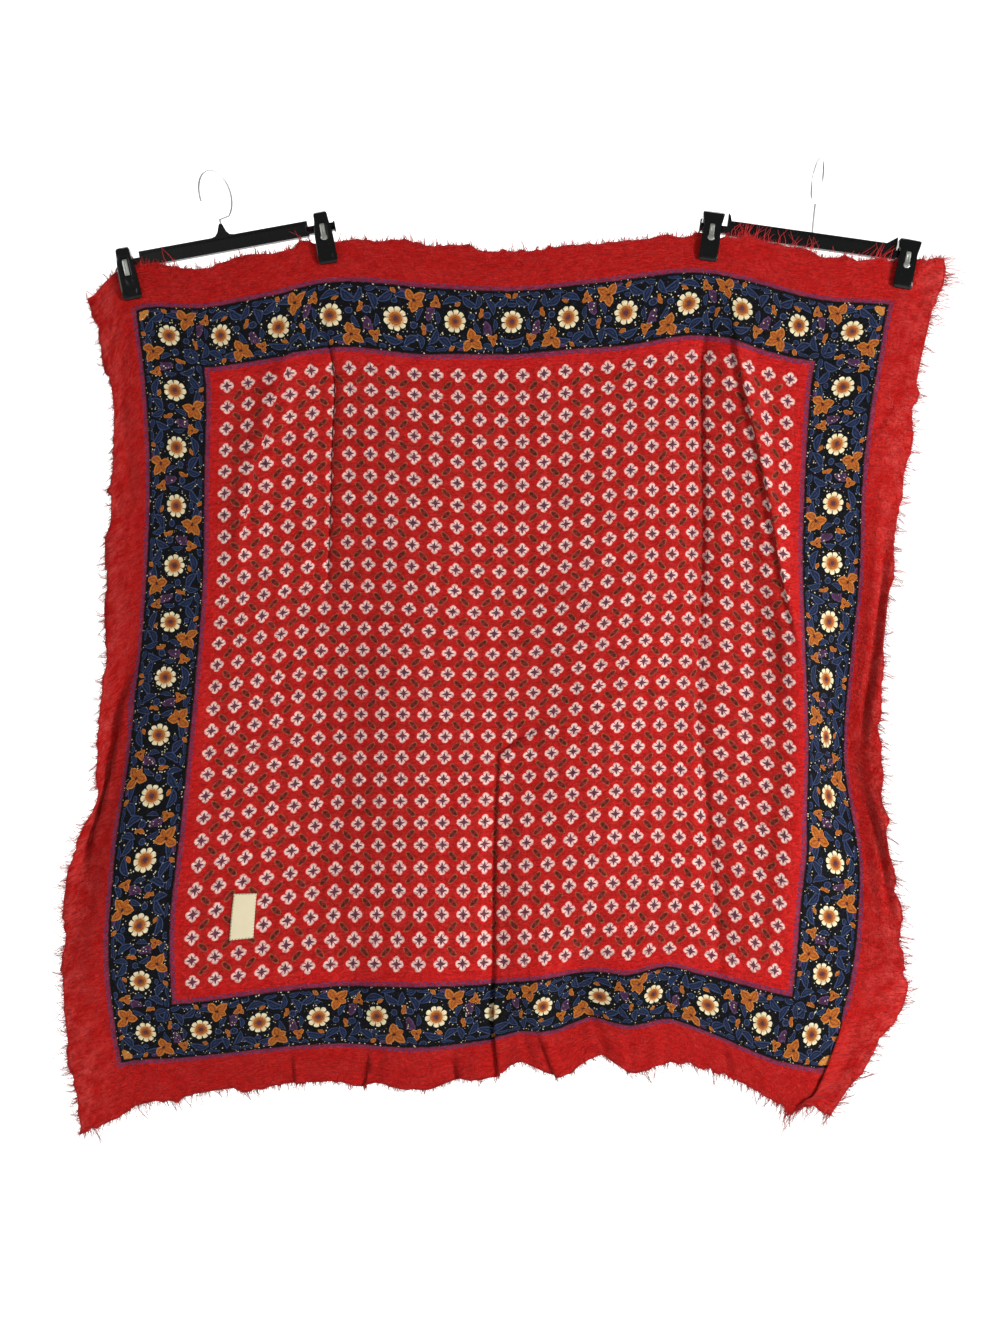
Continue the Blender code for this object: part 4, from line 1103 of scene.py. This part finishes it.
# Patches pressed into a front: left, right, foot, top, and depth, which is negative where the
# patch stands out. A bar has one panel, with a lip raised along its foot
BAR_PATCHES = (
    (-95, 95, -6.05, 6.05, 1.6),
    (-93.5, 93.5, -6, -3.6, -0.9),
)

WIRE_RADIUS, WIRE_ROUNDNESS = 0.0011, 3
LOOP_HALF_WIDTH = 0.023
LOOP_STEPS = 72
LOOP_START, LOOP_END = math.radians(-52), math.radians(196)
# Loop's half height and the straight stem's top below the inner crown
LOOPS = {"left": (0.030, 0.0575), "right": (0.027, 0.0530)}

# Jaws, as rings from the top down: height from the rail's axis, half width, front and inner
# face. The front jaws of the two kinds of clip, then their back jaws
FRONT_JAWS = {
    "left": (
        (15, 4.4, -10.4, 3.8),
        (14.5, 6, -11.2, 3.8),
        (13.4, 7.2, -12.4, 3.8),
        (11.5, 7.9, -13.3, 3.8),
        (4.5, 8.2, -14.2, 3.8),
        (4.2, 8.2, -14.2, -10.8),
        (-3, 9.4, -14.4, -10.8),
        (-13, 10.6, -14.4, -10.6),
        (-33, 11, -13.8, -10),
        (-36, 11, -13.6, -7.9),
        (-43, 10.9, -12.8, -7.9),
        (-44.7, 10.2, -12.2, -7.9),
        (-45.7, 8.8, -11.4, -7.9),
        (-46, 7, -10.8, -7.9),
    ),
    "right": (
        (15, 10.4, -10.6, 3.8),
        (14.5, 11.7, -11.4, 3.8),
        (13.4, 12.5, -12.8, 3.8),
        (11, 12.3, -13.4, 3.8),
        (4.5, 11.3, -14.2, 3.8),
        (4.2, 11.2, -14.2, -10.8),
        (-2, 10.1, -14.4, -10.8),
        (-12.7, 10.4, -14.4, -10.6),
        (-30.7, 10.8, -13.8, -10),
        (-33.4, 10.8, -13.6, -7.9),
        (-39.6, 10.8, -12.8, -7.9),
        (-41.2, 10.1, -12.2, -7.9),
        (-42.1, 8.8, -11.4, -7.9),
        (-42.4, 7, -10.8, -7.9),
    ),
}
BACK_JAWS = {
    "left": (
        (13, 5.6, 4.3, 7.2),
        (11.8, 7, 4.3, 7.6),
        (-7.9, 9.8, 4.3, 8.5),
        (-8.2, 9.8, -1.8, 8.5),
        (-24, 10.6, -4.6, 5),
        (-34.5, 10.8, -6.1, 2),
        (-43, 10.6, -6.1, -1.2),
        (-44.9, 9.2, -6.1, -2),
        (-45.5, 7.4, -6.1, -2.4),
    ),
    "right": (
        (13, 11.5, 4.3, 7.5),
        (-7.9, 9.8, 4.3, 8.5),
        (-8.2, 9.8, -1.8, 8.5),
        (-22.6, 10.4, -4.6, 5),
        (-32, 10.6, -6.1, 2),
        (-39.8, 10.5, -6.1, -1.2),
        (-41.4, 9.2, -6.1, -2),
        (-42, 7.4, -6.1, -2.4),
    ),
}
# The spring's slot, the finger grip and the moulded lines of each kind of front jaw
JAW_PATCHES = {
    "left": (
        (-4.7, 4.7, -20.5, 1.5, 1.6),
        (-6.2, 6.2, -40, -34.5, 0.9),
        (-8.8, 8.8, -42.8, -41.8, -0.3),
        (-4, -3.4, -26.2, -22.2, 0.3),
        (3.4, 4, -26.2, -22.2, 0.3),
        (-5.2, 5.2, 5.6, 6.2, -0.3),
    ),
    "right": (
        (-7.8, 9.8, -39.5, -21.2, -0.4),
        (-4.7, 4.7, -20.5, 1.5, 1.6),
        (-4.6, 4.6, -28.2, -27.6, 0.4),
        (-6.2, 6.2, 5.2, 5.8, -0.3),
    ),
}
# Springs: height, half width, front and back face. The plain one's tab is hidden by its jaw
SPRINGS = {
    "plain": (
        (0.4, 2.5, -13.6, -13.1),
        (-1.2, 2.9, -14.1, -13.1),
        (-17.4, 2.9, -14.1, -13.1),
        (-18.6, 2.4, -13.8, -13.1),
    ),
    "tabbed": (
        (0.4, 2.2, -13.6, -13.1),
        (-1, 2.7, -14.1, -13.1),
        (-12.8, 2.8, -14.1, -13.1),
        (-14, 3.4, -14.4, -13.1),
        (-15.2, 3.8, -14.5, -13.1),
        (-16.6, 3.7, -14.5, -13.1),
        (-18, 2.9, -14.4, -13.1),
        (-19, 1.4, -14.1, -13.1),
    ),
}
# Creases stamped across the springs
STAMPED = ((-1.6, 1.6, -3, -2, -0.3), (-1, 1, -11, -4.8, 0.3))
SPRING_PATCHES = {"plain": STAMPED, "tabbed": STAMPED}
# Each clip: its hanger, its place along the bar from the middle, its turn, and its spring
CLIPS = {
    "left_outer": ("left", -0.1154, math.radians(2.2), "plain"),
    "left_inner": ("left", 0.1160, 0.0, "tabbed"),
    "right_inner": ("right", -0.1165, 0.0, "tabbed"),
    "right_outer": ("right", 0.1120, math.radians(-2.8), "tabbed"),
}
NEAR = 1e-5
FACING = 0.7
BEVEL_FROM, SMOOTH_BELOW = math.radians(28), math.radians(35)


def hanger_frame(hanger):
    """Places a hanger: its own X runs along the bar and its Z up the stem."""
    crown, rise, lean, tilt, *hook = HANGERS[hanger]
    turned = Matrix.Rotation(-tilt, 4, "Y")
    return Matrix.Translation((crown, 0.0, 0.0)) @ turned @ Matrix.Translation((-lean, 0, -rise))


def pick(piece, kind, wanted):
    """In edit mode, selects the corners, edges or faces that pass a test, and nothing else."""
    bpy.ops.mesh.select_mode(type=kind)
    bpy.ops.mesh.select_all(action="DESELECT")
    shape = bmesh.from_edit_mesh(piece.data)
    shape.normal_update()
    for part in {"VERT": shape.verts, "EDGE": shape.edges, "FACE": shape.faces}[kind]:
        if wanted(part):
            part.select = True
    bmesh.update_edit_mesh(piece.data)


def cut(place, axis):
    """Cuts the whole piece across an axis at a place."""
    bpy.ops.mesh.select_all(action="SELECT")
    bpy.ops.mesh.bisect(plane_co=place, plane_no=axis)


def extrude(*move):
    """Extrudes what is selected, and moves it."""
    bpy.ops.mesh.extrude_region_move(TRANSFORM_OT_translate={"value": move})


def block(name, low, high):
    """A cube primitive at its real size and place, left in edit mode."""
    middle = [(a + b) / 2 for a, b in zip(low, high)]
    size = [b - a for a, b in zip(low, high)]
    bpy.ops.object.select_all(action="DESELECT")
    bpy.ops.mesh.primitive_cube_add(size=1.0, location=middle, scale=size)
    piece = bpy.context.object
    piece.name = name
    bpy.ops.object.transform_apply(location=True, rotation=True, scale=True)
    bpy.ops.object.mode_set(mode="EDIT")
    return piece


def ringed_block(name, rings):
    """A block cut across at each ring's height, and each ring drawn to its width and faces."""
    half, front, back = 0.01, -0.01, 0.0
    rings = metres(rings)
    piece = block(name, (-half, front, rings[-1][0]), (half, back, rings[0][0]))
    for height, *widths in rings[1:-1]:
        cut((0, 0, height), (0, 0, 1))
    for height, width, near, far in rings:
        pick(piece, "VERT", lambda vert: abs(vert.co.z - height) < NEAR)
        scale = (width / half, (far - near) / (back - front), 1.0)
        bpy.ops.transform.resize(value=scale, center_override=(0, front, height))
        bpy.ops.transform.translate(value=(0, near - front, 0))
    return piece


def press(piece, patches, facing=-1):
    """Presses patches into the front, or into the back where facing is 1."""
    for left, right, foot, top, depth in metres(patches):
        across, upward = Vector((1, 0, 0)), Vector((0, 0, 1))
        for place, axis in ((left, across), (right, across), (foot, upward), (top, upward)):
            pick(piece, "FACE", lambda face: face.normal.y * facing > FACING)
            bpy.ops.mesh.bisect(plane_co=place * axis, plane_no=axis)

        def in_patch(face):
            middle = face.calc_center_median()
            level = left < middle.x < right and foot < middle.z < top
            return level and face.normal.y * facing > FACING

        pick(piece, "FACE", in_patch)
        extrude(0, -facing * depth, 0)


def rounded(piece, width, segments=2):
    """Leaves edit mode, rounds every sharp edge and shades the rest smooth."""
    bpy.ops.mesh.select_all(action="SELECT")
    bpy.ops.mesh.normals_make_consistent(inside=False)
    bpy.ops.object.mode_set(mode="OBJECT")
    bevel = piece.modifiers.new("rounded edges", "BEVEL")
    bevel.width = width
    bevel.segments = segments
    bevel.limit_method = "ANGLE"
    bevel.angle_limit = BEVEL_FROM
    bpy.ops.object.modifier_apply(modifier=bevel.name)
    bpy.ops.object.shade_smooth_by_angle(angle=SMOOTH_BELOW)


def put(piece, place, finish, node):
    """Puts a modelled piece in its place, with its finish, instead of its CAD node."""
    only(piece)
    piece.matrix_world = place
    bpy.ops.object.transform_apply(location=True, rotation=True, scale=True)
    piece.data.materials.clear()
    piece.data.materials.append(finish)
    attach(piece, "root")
    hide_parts(node)
    return piece


def copy_of(model, name):
    """A copy of a modelled piece, with its own mesh."""
    only(model)
    bpy.ops.object.duplicate(linked=False)
    piece = bpy.context.object
    piece.name = name
    return piece


def make_bar(hanger, finish):
    """A moulded bar: a panelled front and back, a slide rail at each end, and a peak or ears."""
    half, thick, top = BAR_HALF
    tops = metres(BAR_TOPS[hanger])
    piece = block(hanger + "_moulded_bar", (-half, -thick, -top), (half, thick, top))
    for x, height in tops:
        cut((x, 0, 0), (1, 0, 0))
    for x, height in tops:
        pick(piece, "VERT", lambda vert: abs(vert.co.x - x) < NEAR and vert.co.z > 0)
        bpy.ops.transform.translate(value=(0, 0, height - top))
    inner = 1 if hanger == "left" else -1
    ends = dict(tops)
    for side in (-1, 1):
        end, end_top = side * half, ends.get(side * half, top)

        def is_end(face):
            level = abs(face.calc_center_median().x - end) < NEAR
            return level and face.normal.x * side > FACING

        pick(piece, "FACE", is_end)
        step_out(end, (end_top, -top), (RAIL_TOP, RAIL_FOOT))
        reach = INNER_REACH if side == inner else OUTER_REACH
        extrude(side * reach - end, 0, 0)
        if side == inner:
            stop = (STOP_TOPS[hanger], STOP_FOOT)
            step_out(side * reach, (RAIL_TOP, RAIL_FOOT), stop)
            extrude(side * STOP_THICK, 0, 0)
    press(piece, BAR_PATCHES)
    press(piece, BAR_PATCHES[:1], facing=1)
    rounded(piece, 0.0007)
    put(piece, hanger_frame(hanger), finish, hanger + "_bar")


def step_out(x, old, new):
    """Extrudes the selected end face in its own plane, from one top and foot to another."""
    extrude(0, 0, 0)
    scale = (new[0] - new[1]) / (old[0] - old[1])
    middle = (old[0] + old[1]) / 2
    bpy.ops.transform.resize(value=(1, 1, scale), center_override=(x, 0, middle))
    bpy.ops.transform.translate(value=(0, 0, (new[0] + new[1]) / 2 - middle))


def make_hook(hanger, finish):
    """The wire hook, with its stem leaning so that the crown is over its own place."""
    crown, rise, lean, tilt, turn, foot = HANGERS[hanger]
    half_height, stem_top = LOOPS[hanger]
    middle = WIRE_RADIUS - half_height
    route = [(0.0, foot - rise), (0.0, (foot - rise - stem_top) / 2), (0.0, -stem_top)]
    for step in range(LOOP_STEPS + 1):
        angle = LOOP_START + (LOOP_END - LOOP_START) * step / LOOP_STEPS
        route.append((LOOP_HALF_WIDTH * math.cos(angle), middle + half_height * math.sin(angle)))
    curve = bpy.data.curves.new(hanger + "_wire_hook", "CURVE")
    curve.dimensions = "3D"
    curve.bevel_depth = WIRE_RADIUS
    curve.bevel_resolution = WIRE_ROUNDNESS
    curve.use_fill_caps = True
    spline = curve.splines.new("POLY")
    spline.points.add(len(route) - 1)
    for point, (side, height) in zip(spline.points, route):
        leant = lean * min(1.0, (height + rise - foot) / (rise - foot))
        point.co = (side * math.cos(turn) + leant, side * math.sin(turn), height + rise, 1.0)
    placed(hanger + "_wire_hook", curve)
    bpy.ops.object.convert(target="MESH")
    piece = bpy.context.object
    bpy.ops.object.shade_smooth_by_angle(angle=math.radians(50))
    put(piece, hanger_frame(hanger), finish, hanger + "_hook")


def make_clips(finish, steel):
    """All four clips: each kind of jaw and spring is modelled once and copied."""
    models = {}
    kinds = (
        ("front_jaw", FRONT_JAWS, JAW_PATCHES, 0.0005),
        ("back_jaw", BACK_JAWS, {}, 0.0008),
        ("spring", SPRINGS, SPRING_PATCHES, 0.0002),
    )
    for part, shapes, patches, edge in kinds:
        for kind, rings in shapes.items():
            model = ringed_block(kind + "_model", rings)
            press(model, patches.get(kind, ()))
            rounded(model, edge)
            models[part, kind] = model
    front_jaws = []
    for clip, (hanger, along, turn, spring) in CLIPS.items():
        turned = Matrix.Translation((along, 0, 0)) @ Matrix.Rotation(-turn, 4, "Y")
        place = hanger_frame(hanger) @ turned
        for part in ("front_jaw", "back_jaw"):
            piece = copy_of(models[part, hanger], clip + "_moulded_" + part)
            put(piece, place, finish, clip + "_" + part)
            if part == "front_jaw":
                front_jaws.append(piece)
        piece = copy_of(models["spring", spring], clip + "_steel_spring")
        put(piece, place, steel, clip + "_spring")
    for model in models.values():
        bpy.data.objects.remove(model)
    return front_jaws


# The studio


FLOOR_MIDDLE, FLOOR_SIZE = (0.32, -0.15, -1.36), (9.0, 7.5, 1.0)
WALL_HEIGHT, COVE = 4.2, 0.9
SCARF_MIDDLE = (0.34, 0.0, -0.6)
WALL_FOOT = (0.25, 3.3, -1.2)
# Soft round lamps: place, what each is aimed at, size across and watts
LAMPS = {
    "key_lamp": ((2.30, -1.8, -0.80), SCARF_MIDDLE, 0.8, 62.0),
    "fill_lamp": ((-1.6, -2.8, 0.4), SCARF_MIDDLE, 1.4, 12.0),
    "backdrop_lamp": ((0.25, 1.30, 2.20), WALL_FOOT, 2.6, 150.0),
}
ROOM_LIGHT = 0.26
# The camera looks straight at the scarf, with the photo's roll, and sees this width of it
CAMERA_PLACE = (0.3239, -2.2, -0.5813)
VIEW_WIDTH = 1.546
CAMERA_ROLL = math.radians(1.127)


def make_studio():
    """A pale floor that sweeps up into the wall behind, soft lamps, and the camera."""
    bpy.ops.object.select_all(action="DESELECT")
    bpy.ops.mesh.primitive_plane_add(size=1.0, location=FLOOR_MIDDLE)
    floor = bpy.context.object
    floor.name = "studio_floor"
    bpy.ops.transform.resize(value=FLOOR_SIZE)
    bpy.ops.object.transform_apply(location=True, rotation=True, scale=True)
    bpy.ops.object.mode_set(mode="EDIT")
    pick(floor, "EDGE", lambda edge: all(vert.co.y > 1.0 for vert in edge.verts))
    extrude(0, 0, WALL_HEIGHT)
    low, back = FLOOR_MIDDLE[2] + 0.01, 3.0
    pick(floor, "EDGE", lambda edge: all(v.co.y > back and v.co.z < low for v in edge.verts))
    bpy.ops.mesh.bevel(offset=COVE, segments=16, affect="EDGES")
    bpy.ops.object.mode_set(mode="OBJECT")
    bpy.ops.object.shade_smooth()
    floor.data.materials.append(studio_paper())

    for name, (place, aim, size, power) in LAMPS.items():
        bpy.ops.object.light_add(type="AREA", location=place)
        lamp = bpy.context.object
        lamp.name = name
        lamp.data.shape = "DISK"
        lamp.data.size = size
        lamp.data.energy = power
        way = Vector(aim) - Vector(place)
        lamp.rotation_euler = way.to_track_quat("-Z", "Y").to_euler()
    world = bpy.data.worlds.new("soft white room")
    world.use_nodes = True
    light = (("Color", "#ffffff"), ("Strength", ROOM_LIGHT))
    feed(world.node_tree, world.node_tree.nodes["Background"], light)
    bpy.context.scene.world = world

    bpy.ops.object.camera_add(location=CAMERA_PLACE)
    camera = bpy.context.object
    camera.name = "camera"
    camera.data.sensor_width = 36.0
    camera.data.lens = 36.0 * -CAMERA_PLACE[1] / VIEW_WIDTH
    camera.rotation_euler = Matrix.Rotation(math.radians(90), 3, "X").to_euler()
    camera.rotation_euler.rotate(Matrix.Rotation(CAMERA_ROLL, 3, "Y"))
    bpy.context.scene.camera = camera
    bpy.context.scene.view_settings.view_transform = "Standard"


def main():
    """Makes every piece, puts each in place of its solid, and sets up the studio."""
    hung = hang_cloth()
    down, across, points, normals = hung
    flats = np.stack(np.meshgrid(across, SIDE - down), axis=-1)
    cloth = sheet_piece("scarf_cloth", points, flats, CLOTH_THICK, printed_gauze())
    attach(cloth, "root")
    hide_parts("cloth")
    label = make_label(hung, label_tape())
    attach(label, "root")
    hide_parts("label")
    wool = wool_ends()
    for name in FRINGE:
        yarn = make_fringe(name, hung, wool)
        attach(yarn, "root")
        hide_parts(name)
    bar_plastic = black_plastic("moulded black plastic of the bars", 0.24)
    for hanger in HANGERS:
        make_bar(hanger, bar_plastic)
        make_hook(hanger, bare_metal("zinc plated wire", "#d9dbdc", 0.30, (90, 90, 900)))
    clip_plastic = black_plastic("polished black plastic of the clips", 0.12)
    steel = bare_metal("bright spring steel", "#c6c8c0", 0.24, (2600, 300, 300))
    jaws = make_clips(clip_plastic, steel)
    make_studio()


main()
